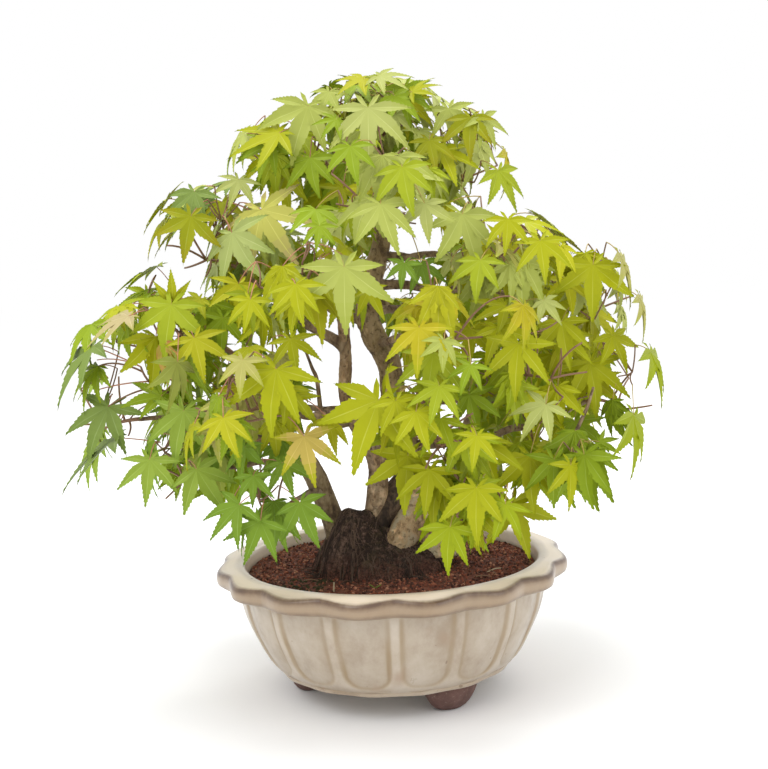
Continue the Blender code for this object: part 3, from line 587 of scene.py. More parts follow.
def makeSoil():
    edge, steps, top = soilForm["edge"], soilForm["steps"], soilForm["top"]
    profile = [(edge * i / steps, top) for i in range(steps + 1)]
    shape = spunShape(profile + soilForm["under"], soilForm["spin"])
    for vert in shape.verts:
        if vert.co.z > 0.065:
            vert.co.z = soilHeight(vert.co.x, vert.co.y)
    bmesh.ops.recalc_face_normals(shape, faces=shape.faces)
    finishPiece("soil_bed", shape, [soilFinish()], ["soil"], 180)


def makeCrumbs():
    rng = random.Random(11)
    crumbs = [newFinish(f"crumb{i}", colour, 0.95) for i, colour in enumerate(soilForm["colours"])]
    mossX, mossY = soilForm["mossAt"]
    near, far = soilForm["mossReach"]
    transforms, kinds = [], []
    for _ in range(soilForm["crumbs"]):
        angle, radius = rng.uniform(0, math.tau), (soilForm["edge"] - 0.0008) * math.sqrt(rng.random())
        x, y = radius * math.sin(angle), -radius * math.cos(angle)
        size = rng.uniform(*soilForm["crumbSize"]) * (0.6 + 0.4 * rng.random())
        turn = Matrix.Rotation(rng.uniform(0, math.tau), 4, Vector([rng.uniform(-1, 1) for _ in range(3)]))
        spot = Vector((x, y, soilHeight(x, y) + 0.25 * size))
        stretch = Matrix.Diagonal((size, size * rng.uniform(0.5, 0.9), size * rng.uniform(0.4, 0.8), 1))
        transforms.append(Matrix.Translation(spot) @ turn @ stretch)
        mossy = Vector((x - mossX, y - mossY)).length < near + far * rng.random()
        mossy = mossy and rng.random() < soilForm["mossShare"]
        kinds.append(5 if mossy else rng.choice((0, 0, 1, 1, 2, 3, 3, 4)))
    vertices, faces = smallForm(1)
    copies = placedCopies(vertices, faces, transforms, kinds)
    finishPiece("soil_crumbs", copies, crumbs, (), 30)
    print("soil made,", len(transforms), "crumbs")


def makeLitter():
    tubes = []
    for start, end, radius, kind in litter:
        start, end = Vector(start), Vector(end)
        bend = start.lerp(end, 0.5) + Vector((0.0, 0.0, soilForm["litterArch"] * (end - start).length))
        tubes.append((arch(start, bend, end, 6, radius, 0.6 * radius), kind))
    straws = [
        newFinish("paleStraw", (0.560, 0.450, 0.300), 0.8),
        newFinish("greenSprig", (0.200, 0.260, 0.040), 0.7),
        newFinish("brownStraw", (0.300, 0.180, 0.110), 0.85),
    ]
    finishPiece("soil_litter", joinedTubes(tubes, 6), straws, (), 180)


# ---- stems and boughs

limbPlan = {  # stems: x, y, z and radius along the axis, in tenths of a millimetre
    "stem_left": [
        (-275, -120, 693, 86), (-310, -120, 950, 64), (-420, -180, 1280, 60), (-530, -240, 1460, 48),
        (-640, -310, 1640, 36), (-680, -380, 1820, 24),
    ],
    "stem_middle": [
        (-65, -100, 693, 82), (-82, -90, 960, 63), (-53, -120, 1280, 56), (-115, -140, 1430, 50),
        (-215, -170, 1650, 36), (-203, -180, 1900, 34), (-215, -260, 2140, 28), (-270, -400, 2320, 22),
    ],
    "stem_right": [
        (170, 10, 693, 125), (200, 20, 950, 84), (122, 40, 1330, 74), (55, 50, 1620, 70),
        (35, 40, 1840, 70), (-45, 10, 2000, 68), (-80, 0, 2140, 65), (-45, 20, 2320, 63),
        (15, 40, 2510, 55), (35, 20, 2760, 42), (25, 0, 3030, 26),
    ],
    "stem_side": [
        (350, 100, 693, 50), (345, 80, 930, 40), (390, 0, 1120, 36), (430, -220, 1450, 28),
        (500, -340, 1660, 20),
    ],
}
stub = {  # what is left of a limb cut off long ago
    "stem": "stem_right", "height": 0.2165, "toward": (0.75, -0.55, 0.35), "length": 0.0135,
    "radius": 0.0046,
}
massTable = {  # the space each leaf mass grows in, middle and radii in mm, and its leaves' colours
    "apex": (6, 0, 319, 52, 48, 36, "palegreen palegreen fresh yellow green pale"),
    "top_left": (-42, -6, 302, 48, 46, 42, "palegreen green fresh pale lime"),
    "top_right": (48, -4, 292, 42, 46, 38, "palegreen lime lime fresh pale gold"),
    "top_front": (-4, -64, 274, 44, 38, 38, "pale fresh palegreen green lime yellow"),
    "top_back": (4, 62, 276, 50, 40, 38, "green fresh palegreen lime"),
    "upper_left": (-94, -16, 254, 48, 48, 40, "mint palegreen pale palemint olive lime"),
    "upper_right": (64, -52, 240, 42, 42, 36, "pale lime yellow tanlime palegreen"),
    "right_top": (116, -4, 216, 46, 46, 42, "yellow pale lime yellow tanlime pale"),
    "upper_front": (-40, -88, 224, 40, 38, 38, "pale yellow lime palegreen fresh lime"),
    "centre_right": (34, -90, 206, 40, 36, 38, "lime yellow gold fresh lime"),
    "left_mid": (-118, -26, 204, 50, 48, 40, "lime fresh green limegreen green"),
    "left_front": (-72, -84, 172, 42, 38, 36, "lime yellow fresh lime tanlime green"),
    "far_left": (-158, -8, 164, 38, 44, 46, "mint green freshgreen mint"),
    "lower_left": (-110, -34, 136, 44, 46, 38, "freshgreen green deep green palegreen"),
    "low_left": (-62, -62, 118, 40, 42, 42, "deep deep green freshgreen"),
    "centre_low": (26, -96, 158, 40, 34, 42, "lime yellow lime fresh limegreen"),
    "right_mid": (86, -56, 184, 44, 42, 38, "lime yellow limegreen fresh yellow lime"),
    "right_outer": (133, -4, 162, 36, 44, 46, "lime limegreen lime fresh yellow"),
    "right_low": (94, -34, 130, 36, 44, 38, "limegreen lime green limegreen"),
    "low_right": (44, -84, 116, 38, 36, 36, "limegreen lime limegreen green"),
    "back_left_high": (-70, 66, 232, 50, 46, 42, "fresh green lime palegreen mint"),
    "back_left_low": (-98, 62, 158, 50, 48, 44, "green deep freshgreen green lime"),
    "back_mid": (2, 92, 214, 42, 36, 44, "fresh green lime green palegreen"),
    "back_right_high": (68, 66, 226, 48, 46, 42, "lime fresh green yellow lime"),
    "back_right_low": (90, 62, 154, 46, 48, 44, "lime green limegreen fresh"),
}
massPlan = {
    mass: tuple(tuple(part / 1000 for part in half) for half in (row[:3], row[3:6]))
    for mass, row in massTable.items()
}
tipMasses = {
    "apex": "stem_right", "upper_front": "stem_middle", "left_mid": "stem_left", "right_mid": "stem_side",
}
sideMasses = {
    "top_front": ("stem_right", 0.262), "top_back": ("stem_right", 0.258), "back_mid": ("stem_right", 0.226),
}
boughTable = {  # stem, height where the bough leaves it, base radius and lift of its arch, in 0.1 mm
    "top_left": ("stem_right", 2740, 24, 40),
    "top_right": ("stem_right", 2660, 26, 20),
    "fork_left": ("stem_middle", 1960, 36, -40),
    "upper_right": ("stem_right", 2440, 28, 20),
    "right_top": ("stem_right", 2290, 32, 0),
    "centre_right": ("stem_right", 1960, 26, 0),
    "right_outer": ("stem_right", 1360, 34, -120),
    "right_low": ("stem_side", 1160, 22, 0),
    "low_right": ("stem_side", 1040, 22, 60),
    "centre_low": ("stem_middle", 1370, 26, 20),
    "mid_low": ("stem_middle", 1600, 26, -60),
    "far_left": ("stem_left", 1410, 28, 80),
    "lower_left": ("stem_left", 1280, 24, 40),
    "low_left": ("stem_left", 1120, 24, 60),
    "back_left_high": ("stem_right", 2060, 34, 20),
    "back_left_low": ("stem_right", 1500, 34, 60),
    "back_right_high": ("stem_right", 2120, 34, 20),
    "back_right_low": ("stem_right", 1560, 34, 40),
}
boughMasses = {"fork_left": "upper_left", "mid_low": "left_front"}  # the rest carry their namesakes
boughPlan = {
    "bough_" + name: (boughMasses.get(name, name), stem, *(size / 10000 for size in sizes))
    for name, (stem, *sizes) in boughTable.items()
}
barkForm = {
    "stemSides": 40, "boughSides": 14, "stemStep": 0.0012, "boughStep": 0.0016,
    "flareHeight": 0.010, "flare": 0.35, "furrow": 0.055, "knobs": 0.10,
    "boughEnd": 0.55, "boughTip": 0.0013, "boughSway": 0.005, "swayScale": 45.0, "swell": (0.5, 2.2),
    "ground": 0.0693, "sunk": 0.004, "alongShare": 0.28, "furrowScale": 420.0, "knobScale": 75.0,
    "grain": 0.03, "grainScale": 700.0, "buttress": (0.6, 0.8, 110.0),
}


def smoothPath(rows, step):
    # places and radii along a smooth curve through a limb's rows, about a step apart
    spots = [Vector([part / 10000 for part in row]) for row in rows]
    spots = [2 * spots[0] - spots[1], *spots, 2 * spots[-1] - spots[-2]]
    path = []
    for a, b, c, d in zip(spots, spots[1:], spots[2:], spots[3:]):
        count = max(2, round((c - b).length / step))
        for i in range(count):
            t = i / count
            path.append(0.5 * (
                2 * b + (c - a) * t + (2 * a - 5 * b + 4 * c - d) * t**2
                + (3 * b - a - 3 * c + d) * t**3
            ))
    path.append(spots[-2])
    return [(p.xyz, p.w) for p in path]


def ringFrames(path):
    # a matrix for each place on a path that takes the flat circle of radius 1 to its ring
    across = Vector((1.0, 0.0, 0.0))
    frames = []
    for i, (place, radius) in enumerate(path):
        ahead = path[min(i + 1, len(path) - 1)][0] - path[max(i - 1, 0)][0]
        ahead.normalize()
        across = across - ahead * across.dot(ahead)
        if across.length < 0.1:
            across = ahead.orthogonal()
        across.normalize()
        up = ahead.cross(across)
        turn = Matrix((across, up, ahead)).transposed().to_4x4()
        frames.append(Matrix.Translation(place) @ turn @ Matrix.Diagonal((radius, radius, radius, 1)))
    return frames


def atHeight(path, height):
    for (low, r0), (high, r1) in zip(path, path[1:]):
        if low.z <= height <= high.z:
            t = (height - low.z) / (high.z - low.z)
            return low.lerp(high, t), r0 + (r1 - r0) * t, (high - low).normalized()
    raise ValueError(f"no stem at height {height}")


def boughPath(mass, stemPath, height, radius, lift):
    # from a stem's axis in one arch to the edge of the mass's space
    start, stemRadius, _ = atHeight(stemPath, height)
    centre, radii = Vector(massPlan[mass][0]), Vector(massPlan[mass][1])
    back = start - centre
    far = math.sqrt(sum((b / r) ** 2 for b, r in zip(back, radii)))
    end = centre + back * (barkForm["boughEnd"] / far)
    bend = start.lerp(end, 0.45) + Vector((0.0, 0.0, lift))
    length = (end - start).length
    count = max(8, round(length / barkForm["boughStep"]))
    path = []
    grown, reach = barkForm["swell"]
    for i in range(count + 1):
        t = i / count
        place = start * (1 - t) ** 2 + bend * 2 * t * (1 - t) + end * t**2
        sway = noise.noise_vector(place * barkForm["swayScale"])
        place += sway * barkForm["boughSway"] * math.sin(math.pi * t)
        swell = 1.0 + grown * max(0.0, 1 - t * length / (stemRadius * reach)) ** 2
        path.append((place, (radius + (barkForm["boughTip"] - radius) * t**0.8) * swell))
    return path


def roughenLimb(shape, ground, amount):
    # furrows along the limb, knobs and fine grain, and a flare with buttresses at the foot
    light = shape.verts.layers.float.new("light")
    shape.normal_update()
    least, more, scale = barkForm["buttress"]
    for vert in shape.verts:
        place = vert.co.copy()
        long = Vector((place.x, place.y, place.z * barkForm["alongShare"])) * barkForm["furrowScale"]
        furrow = noise.ridged_multi_fractal(long, 0.9, 2.1, 3, 0.9, 2.0) - 1.1
        knob = cloudy(place, barkForm["knobScale"], 2)
        grain = barkForm["grain"] * cloudy(place, barkForm["grainScale"], 2)
        grown = amount * (barkForm["furrow"] * furrow + barkForm["knobs"] * knob + grain)
        if ground:
            high = max(0.0, place.z - ground)
            buttress = least + more * max(0.0, cloudy(Vector((place.x, place.y, 0.0)), scale, 2))
            grown += amount * barkForm["flare"] * buttress * math.exp(-high / barkForm["flareHeight"])
        vert.co += vert.normal * grown
        # how high each place stands between furrows and knobs, which the bark's painted shade reads
        vert[light] = furrow * 0.5 + 0.5 * knob


def barkFinish(name, tones, mossShare):
    # tones are dark, middle and pale; the bark is paler near the soil and mossier higher up, and darkened in
    # its furrows as painted shade
    dark, mid, pale = tones
    finish = newFinish(name, mid, 0.9)
    base = grainSocket(finish, (150.0, 6.0, 0.68, (1.0, 1.0, 0.55)), (0.37, dark), (0.47, mid), (0.61, pale))
    high = rampSocket(finish, heightSocket(finish, 4.0), [(0.44, 0.0), (0.66, 1.0)])
    dull = mixSocket(finish, 1.0, base, (1.0, 0.93, 0.84), "MULTIPLY")
    base = mixSocket(finish, high, base, dull)
    spots = (tuple(0.5 * c for c in dark), None, (420.0, 3.0, 0.5), (0.56, 0.0), (0.66, 0.6))
    base = overlaid(finish, base, spots)
    # painted shade: the bark darkened where the attribute is low, in its furrows and between its knobs
    paintedFurrowShade = rampSocket(finish, attributeSocket(finish, "light"), [(0.0, 0.55), (0.35, 1.0)])
    base = mixSocket(finish, 1.0, base, paintedFurrowShade, "MULTIPLY")
    mossy = grainSocket(finish, (45.0, 5.0, 0.65), (0.64 - mossShare, 0.0), (0.76 - mossShare, 0.75))
    mossy = mathSocket(finish, "MULTIPLY", mossy, high)
    setShader(finish, "Base Color", mixSocket(finish, mossy, base, (0.085, 0.080, 0.030)))
    addBump(finish, 0.0008, 0.9, 900.0, 4.0, 0.7, (1.0, 1.0, 0.4))
    return finish


barkTones = {
    "stem_left": ((0.150, 0.095, 0.050), (0.390, 0.270, 0.140), (0.62, 0.48, 0.28)),
    "stem_middle": ((0.200, 0.120, 0.070), (0.530, 0.355, 0.205), (0.76, 0.57, 0.37)),
    "stem_right": ((0.190, 0.125, 0.068), (0.480, 0.350, 0.185), (0.74, 0.57, 0.35)),
    "stem_side": ((0.150, 0.100, 0.055), (0.370, 0.270, 0.150), (0.60, 0.47, 0.29)),
    "rootTan": ((0.360, 0.220, 0.115), (0.950, 0.640, 0.350), (1.00, 0.84, 0.56)),
    "rootDark": ((0.040, 0.026, 0.018), (0.110, 0.070, 0.048), (0.30, 0.20, 0.13)),
    "boughs": ((0.170, 0.105, 0.062), (0.400, 0.280, 0.170), (0.60, 0.46, 0.31)),
}
rootPlan = {  # surface roots that run down into the mound, as the stems are written
    "root_front": [
        (180, 0, 1120, 66), (150, -80, 1010, 92), (95, -140, 920, 94), (40, -175, 840, 76),
        (-10, -200, 760, 56),
    ],
    "root_right": [
        (200, 0, 1140, 80), (225, -60, 990, 104), (250, -100, 870, 112), (265, -140, 740, 104),
    ],
    "root_joining": [
        (135, 20, 1260, 50), (85, -20, 1150, 78), (20, -60, 1060, 80), (-45, -100, 970, 66),
        (-85, -120, 880, 44),
    ],
}
branchPlan = {  # small branches off the stems
    "branch_middle_left": [
        (-175, -155, 1545, 30), (-260, -170, 1528, 24), (-350, -180, 1536, 21), (-462, -200, 1636, 15),
        (-560, -300, 1720, 10),
    ],
    "branch_upright": [
        (-352, -180, 1538, 16), (-366, -190, 1772, 12), (-390, -210, 1852, 10), (-430, -300, 2000, 7),
    ],
    "branch_right_red": [
        (690, -300, 1240, 16), (904, -480, 1346, 13), (1040, -480, 1560, 10), (1100, -450, 1700, 7),
    ],
}


def makeLimb(name, path, sides, ground, finish, standsFor=()):
    shape = extrudedRings(ringFrames(path), sides)
    roughenLimb(shape, ground, 0.5 * (path[0][1] + path[-1][1]))
    finishPiece(name, shape, [finish], standsFor, 180)


def makeLimbs():
    finishes = {
        name: barkFinish(name + "Bark", tones, 0.0 if "stem" in name else 0.04)
        for name, tones in barkTones.items()
    }
    stemPaths = {name: smoothPath(points, barkForm["stemStep"]) for name, points in limbPlan.items()}
    for name, path in stemPaths.items():
        path = [(path[0][0] - Vector((0, 0, barkForm["sunk"])), path[0][1]), *path]
        sides, ground = barkForm["stemSides"], barkForm["ground"]
        makeLimb(name + "_bark", path, sides, ground, finishes[name], [name])
    place, radius, _ = atHeight(stemPaths[stub["stem"]], stub["height"])
    toward, wide = Vector(stub["toward"]).normalized(), stub["radius"]
    path = [(place + toward * stub["length"] * t, wide * (1.25 - 0.25 * t)) for t in np.linspace(0, 1, 12)]
    end = path[-1][0]
    path += [(end + toward * 0.0006, 0.8 * wide), (end + toward * 0.0002, 0.4 * wide)]
    makeLimb("stub_bark", path, 20, None, finishes["stem_right"])
    for name, points in rootPlan.items():
        tone = finishes["rootDark" if name == "root_joining" else "rootTan"]
        makeLimb(name, smoothPath(points, barkForm["stemStep"]), 28, None, tone)
    for name, points in branchPlan.items():
        makeLimb(name, smoothPath(points, barkForm["boughStep"]), 10, None, finishes["boughs"])
    for name, (mass, stem, height, radius, lift) in boughPlan.items():
        path = boughPath(mass, stemPaths[stem], height, radius, lift)
        makeLimb(name + "_bark", path, barkForm["boughSides"], None, finishes["boughs"], [name])
    print("stems and boughs made")
    return stemPaths


# ---- the mossy mound of roots at their feet

moundForm = {
    "centre": (-0.006, -0.012), "radii": (0.038, 0.026), "height": 0.015, "ground": 0.0693,
    "humps": [  # place in x and y, width, extra height
        (-0.027, -0.018, 0.0130, 0.026), (-0.010, -0.012, 0.0100, 0.013),
        (0.006, -0.002, 0.0070, 0.022), (0.022, -0.012, 0.0090, 0.004),
    ],
    "rootlets": 500, "rootletSize": (0.00014, 0.00042), "rootletFar": (0.10, 0.86),
    "rootletSteps": 9, "rootletStep": 0.0024, "rootletLift": (0.0004, 0.0006),
    "grid": (110, 90), "spread": 1.12, "rough": ((0.0016, 120.0, 3), (0.0011, 420.0, 2)), "shift": 0.8,
    "skirt": 0.0035, "foot": 0.006,
    "lobes": ((0.06, 3, 1.0), (0.05, 7, 0.0)), "bumps": (0.06, 240, 260), "dome": 0.4,
}


def moundHeight(x, y):
    across = (x - moundForm["centre"][0]) / moundForm["radii"][0]
    along = (y - moundForm["centre"][1]) / moundForm["radii"][1]
    turn = math.atan2(along, across)
    lump = 1.0
    for size, count, start in moundForm["lobes"]:
        lump += size * math.sin(count * turn + start)
    share = math.hypot(across, along) / lump
    if share >= 1.0:
        return 0.0
    height = moundForm["height"]
    for left, front, width, more in moundForm["humps"]:
        height += more * math.exp(-((x - left) ** 2 + 0.8 * (y - front) ** 2) / width**2)
    size, acrossScale, alongScale = moundForm["bumps"]
    bump = 1.0 + size * math.sin(acrossScale * x) * math.cos(alongScale * y)
    return height * bump * (1 - share**2) ** moundForm["dome"]


def moundFinish():
    finish = newFinish("mossyRoots", (0.03, 0.02, 0.015), 0.98)
    cloud = noiseSocket(finish, 260.0, 6.0, 0.75)
    tones = [(0.38, (0.018, 0.011, 0.008)), (0.52, (0.090, 0.052, 0.038)), (0.66, (0.330, 0.205, 0.155))]
    moss = ((0.040, 0.044, 0.015), None, (55.0, 4.0, 0.6), (0.52, 0.0), (0.64, 0.75))
    base = overlaid(finish, rampSocket(finish, cloud, tones), moss)
    height = heightSocket(finish, 8.0, mathSocket(finish, "MULTIPLY", cloud, 0.016))
    low = rampSocket(finish, height, [(0.63, 0.85), (0.74, 0.0)])
    soilTones = (0.38, (0.060, 0.024, 0.016)), (0.66, (0.280, 0.120, 0.078))
    grit = grainSocket(finish, (900.0, 2.0, 0.6), *soilTones)
    setShader(finish, "Base Color", mixSocket(finish, low, base, grit))
    addBump(finish, 0.0016, 1.0, 900.0, 4.0, 0.8)
    return finish


def makeMound():
    shape = bmesh.new()
    across, along = moundForm["grid"]
    bmesh.ops.create_grid(shape, x_segments=across, y_segments=along, size=1.0)
    ground, spread = moundForm["ground"], moundForm["spread"]
    (midX, midY), (wide, deep) = moundForm["centre"], moundForm["radii"]
    rim = [edge for edge in shape.edges if edge.is_boundary]
    for vert in shape.verts:
        x = midX + vert.co.x * wide * spread
        y = midY + vert.co.y * deep * spread
        height = moundHeight(x, y)
        rough = sum(size * cloudy(Vector((x, y, height)), *grain) for size, *grain in moundForm["rough"])
        z = ground + height + rough if height > 0 else ground - moundForm["skirt"]
        vert.co = Vector((x + moundForm["shift"] * rough, y - moundForm["shift"] * rough, z))
    for vert in only(bmesh.types.BMVert, bmesh.ops.extrude_edge_only(shape, edges=rim)["geom"]):
        vert.co.z = ground - moundForm["foot"]
    bmesh.ops.holes_fill(shape, edges=[edge for edge in shape.edges if edge.is_boundary], sides=0)
    bmesh.ops.recalc_face_normals(shape, faces=shape.faces)
    finishPiece("root_mound_mossy", shape, [moundFinish()], ["root_mound"], 180)

    rng = random.Random(5)
    step = moundForm["rootletStep"]
    least, more = moundForm["rootletLift"]
    tubes = []
    for _ in range(moundForm["rootlets"]):
        angle = rng.uniform(0, math.tau)
        far = rng.uniform(*moundForm["rootletFar"])
        heading = angle + rng.uniform(-1.2, 1.2)
        x = midX + wide * far * math.cos(angle)
        y = midY + deep * far * math.sin(angle)
        size = rng.uniform(*moundForm["rootletSize"])
        points = []
        for i in range(moundForm["rootletSteps"]):
            z = ground + moundHeight(x, y)
            points.append((Vector((x, y, z + more * rng.random() + least)), size * (1 - 0.07 * i)))
            heading += rng.uniform(-0.6, 0.6)
            x += step * math.cos(heading)
            y += step * math.sin(heading)
        tubes.append((points, 0 if rng.random() < 0.6 else 1))
    finishes = [
        newFinish("darkRootlet", (0.050, 0.030, 0.022), 0.95),
        newFinish("paleRootlet", (0.150, 0.095, 0.068), 0.9),
    ]
    finishPiece("mound_rootlets", joinedTubes(tubes, 5), finishes, (), 180)
    print("mound made")


# ---- twigs, stalks and leaves, grown as the source grows them

leafForm = {
    "length": 0.0275,          # the middle lobe, from the stalk to its tip
    "sizes": (0.72, 1.15),
    "lobes": [(-142, 0.30), (-92, 0.64), (-46, 0.88), (0, 1.0), (46, 0.88), (92, 0.64), (142, 0.30)],
    "notch": 0.335,             # how near the stalk the cuts between two lobes reach
    "ribs": (0.50, 0.68, 0.84),
    "teeth": [(0.38, 0.50), (0.60, 0.68), (0.77, 0.84), (0.92,)],  # along the lobe, up to each rib
    "wide": (0.135, 0.180),    # half a lobe's widest, by form
    "closed": (1.0, 1.0, 0.96, 1.04, 0.90, 0.98, 0.72, 0.62, 0.80, 0.55),  # how far each form spreads
    "widestAt": 0.43,
    "toothDepth": 0.020,
    "vein": 0.008,
    "fold": 0.38,
    "droop": 0.17,
}
crownForm = {
    "outline": [  # the crown's outline from the front, as x and z at the pot's axis in mm
        (-14, 347), (14, 347), (23, 339), (39, 342), (43, 330), (53, 328), (65, 322), (73, 312),
        (74, 295), (80, 275), (84, 269), (92, 262), (101, 254), (110, 248), (128, 246), (138, 234),
        (143, 219), (141, 194), (139, 180), (137, 152), (135, 140), (133, 125), (130, 118), (129, 128),
        (125, 113), (114, 93), (97, 92), (93, 84), (80, 67), (50, 68), (28, 60), (11, 70), (-35, 72),
        (-42, 80), (-83, 70), (-101, 80), (-107, 90), (-101, 106), (-131, 108), (-149, 117), (-154, 130),
        (-175, 111), (-188, 112), (-189, 142), (-179, 154), (-175, 168), (-191, 173), (-190, 193),
        (-174, 211), (-173, 215), (-152, 227), (-136, 239), (-120, 246), (-111, 244), (-100, 233),
        (-98, 244), (-108, 244), (-122, 249), (-135, 246), (-136, 255), (-122, 273), (-113, 289),
        (-107, 296), (-90, 299), (-85, 303), (-76, 316), (-62, 319), (-53, 327), (-42, 336), (-33, 342),
    ],
    "openings": [  # see-through places, as left, right, low and high, in mm
        (-40, -12, 100, 135), (-26, 0, 165, 203), (-43, -30, 176, 196), (22, 30, 123, 138),
        (10, 32, 244, 264), (2, 7, 222, 238), (11, 19, 221, 231), (55, 68, 272, 288), (63, 69, 254, 269),
        (-164, -138, 187, 200), (-160, -138, 173, 180), (-154, -136, 147, 167), (-117, -98, 235, 257),
        (123, 133, 134, 158), (124, 130, 215, 220),
    ],
    "seenFrom": (0.0, -0.618, 0.226),
    "leavesPerMass": 56, "ways": 130, "tries": 5, "overhang": 1.18, "wallCrossing": 0.015,
    "tipShell": (0.62, 1.06),
    "twig": 0.00045, "stalk": 0.00030, "stalkLengths": (0.007, 0.022),
    "branchlets": 7, "openForms": 6,
    "leader": (0.0013, 0.0007), "branchlet": (0.00070, 0.0005), "shortest": 0.008,  # radii, least length
    "fall": (50, 24, 28), "fallBetween": (12, 80), "twist": 0.65,  # how leaves hang, in degrees
    "middle": 0.4, "halfway": 0.55, "wallSlack": 0.004, "lowest": 0.079,
    "cell": 0.03, "near": 0.045,
    "hidden": (0.45, 0.30, 0.004), "ownReach": 0.38,
    "towardFront": (0.4, 0.012, 0.75), "outward": (0.5, 7), "turned": 0.8,
    "sideTries": 4, "sideTurns": (45, 115), "sideFaces": (30, 80), "sideLift": 0.006,
    "tones": {"Front": 0.93, "Inner": 1.10, "Outer": 1.03},  # shares of the leaf colours by place: painted shade on the front's own leaves, painted light on those deeper in the crown, standing for light through the leaves
    "fewer": {"far_left": 8, "lower_left": 24, "low_left": 14},  # leaves of the open masses
}


frontTwigs = {  # thin twigs that cross open sky, as start, bend, end and radius
    "far_left": [
        ((-0.1150, -0.036, 0.176), (-0.125, -0.042, 0.180), (-0.1269, -0.045, 0.1909), 0.00080),
        ((-0.1269, -0.045, 0.1909), (-0.132, -0.045, 0.1940), (-0.1510, -0.045, 0.2030), 0.00045),
        ((-0.1269, -0.045, 0.1909), (-0.138, -0.045, 0.1970), (-0.1497, -0.045, 0.1955), 0.00040),
        ((-0.1260, -0.044, 0.1880), (-0.140, -0.044, 0.1960), (-0.1500, -0.042, 0.1920), 0.00060),
        ((-0.1240, -0.043, 0.1830), (-0.138, -0.045, 0.1830), (-0.1496, -0.045, 0.1800), 0.00045),
        ((-0.1230, -0.040, 0.1790), (-0.132, -0.045, 0.1790), (-0.1450, -0.046, 0.1710), 0.00060),
        ((-0.1200, -0.040, 0.1500), (-0.131, -0.044, 0.1530), (-0.1430, -0.044, 0.1540), 0.00040),
    ],
}
for key in ("outline", "openings"):
    crownForm[key] = [tuple(part / 1000 for part in row) for row in crownForm[key]]
frontSpots = []  # the middles of the front's own leaves, and how far round them to keep clear


def leafTemplate(rng, closed):
    # one leaf of unit length: the stalk at the origin, the middle lobe along x, its face up z
    points, faces, kinds = [], [], []
    droop = leafForm["droop"] * rng.uniform(0.5, 1.5) + 0.5 * (1 - closed)
    wide = rng.uniform(*leafForm["wide"])

    def put(along, out, turn, bend, lift=0.0):
        angle = turn + bend * along
        x = along * math.cos(angle) - out * math.sin(angle)
        y = along * math.sin(angle) + out * math.cos(angle)
        z = leafForm["fold"] * abs(out) + lift - droop * (along * along + out * out)
        points.append((x, y, z))
        return len(points) - 1

    def add(corners, kind, flip=False):
        faces.append(tuple(corners[::-1] if flip else corners))
        kinds.append(kind)

    def halfWidth(share):
        if share < leafForm["widestAt"]:
            return wide * (0.66 + 0.34 * share / leafForm["widestAt"])
        return wide * (1 - (share - leafForm["widestAt"]) / (1 - leafForm["widestAt"])) ** 0.9

    lobes = []
    for turn, reach in leafForm["lobes"]:
        turn = math.radians(closed * (turn + rng.uniform(-5, 5)))
        lobes.append((turn, reach * rng.uniform(0.92, 1.08), rng.uniform(-0.16, 0.16)))
    root = put(0.0, 0.0, 0.0, 0.0)
    notches = [put(0.05, 0.0, lobes[0][0] - 0.35, 0.0)]
    for (first, reach, _), (second, other, _) in zip(lobes, lobes[1:]):
        far = leafForm["notch"] * min(reach, other) * rng.uniform(0.92, 1.08)
        notches.append(put(far, 0.0, (first + second) / 2, 0.0, 0.03))
    notches.append(put(0.05, 0.0, lobes[-1][0] + 0.35, 0.0))
    for number, (turn, reach, bend) in enumerate(lobes):
        tip = put(reach, 0.0, turn, bend, -0.02)
        if reach < 0.4:
            rib = put(0.5 * reach, 0.0, turn, bend)
            for side in (-1, 1):
                edge = put(0.62 * reach, side * 0.12 * reach, turn, bend)
                notch = notches[number] if side < 0 else notches[number + 1]
                add([root, notch, edge, rib], 0, side > 0)
                add([rib, edge, tip], 3, side > 0)
            continue
        veins = []
        for share, width in zip(leafForm["ribs"], (1.0, 0.7)):
            width *= leafForm["vein"]
            veins.append([put(share * reach, side * width, turn, bend) for side in (-1, 1)])
        last = put(leafForm["ribs"][2] * reach, 0.0, turn, bend)
        add([root, veins[0][0], veins[0][1]], 1)
        add([veins[0][0], veins[1][0], veins[1][1], veins[0][1]], 1)
        add([veins[1][0], last, veins[1][1]], 1)
        for side in (-1, 1):
            ribs = [veins[0][side > 0], veins[1][side > 0], last, tip]
            before = [root, notches[number] if side < 0 else notches[number + 1]]
            for row, (rib, teeth) in enumerate(zip(ribs, leafForm["teeth"])):
                edge = []
                for share in teeth:
                    out = halfWidth(share) * rng.uniform(0.94, 1.06)
                    edge.append(put(share * reach, side * out * reach, turn, bend))
                    out = max(0.004, halfWidth(share + 0.012) - leafForm["toothDepth"])
                    edge.append(put((share + 0.012) * reach, side * out * reach, turn, bend))
                add([*before, *edge, rib], (0, 2, 3, 3)[row], side > 0)
                before = [rib, edge[-1]]
    return np.array(points), faces, np.array(kinds, np.int32)


def proxyPoints(base, axis, face, size):
    # the five main tips of a leaf, enough to test where it stands
    side = axis.cross(face)
    spots = []
    for turn, reach in leafForm["lobes"][1:-1]:
        turn = math.radians(turn)
        far = reach * leafForm["length"] * size
        tip = base + (axis * math.cos(turn) + side * math.sin(turn)) * far
        spots.append(tip - face * leafForm["droop"] * reach * far)
    return spots


def proxyTree(base, spots):
    middle = [(a + b) * 0.5 * 0.75 + base * 0.25 for a, b in zip(spots, spots[1:])]
    ring = [spots[0]]
    for between, spot in zip(middle, spots[1:]):
        ring += [between, spot]
    corners = [base, *ring]
    return BVHTree.FromPolygons(corners, [(0, i, i + 1) for i in range(1, len(ring))])


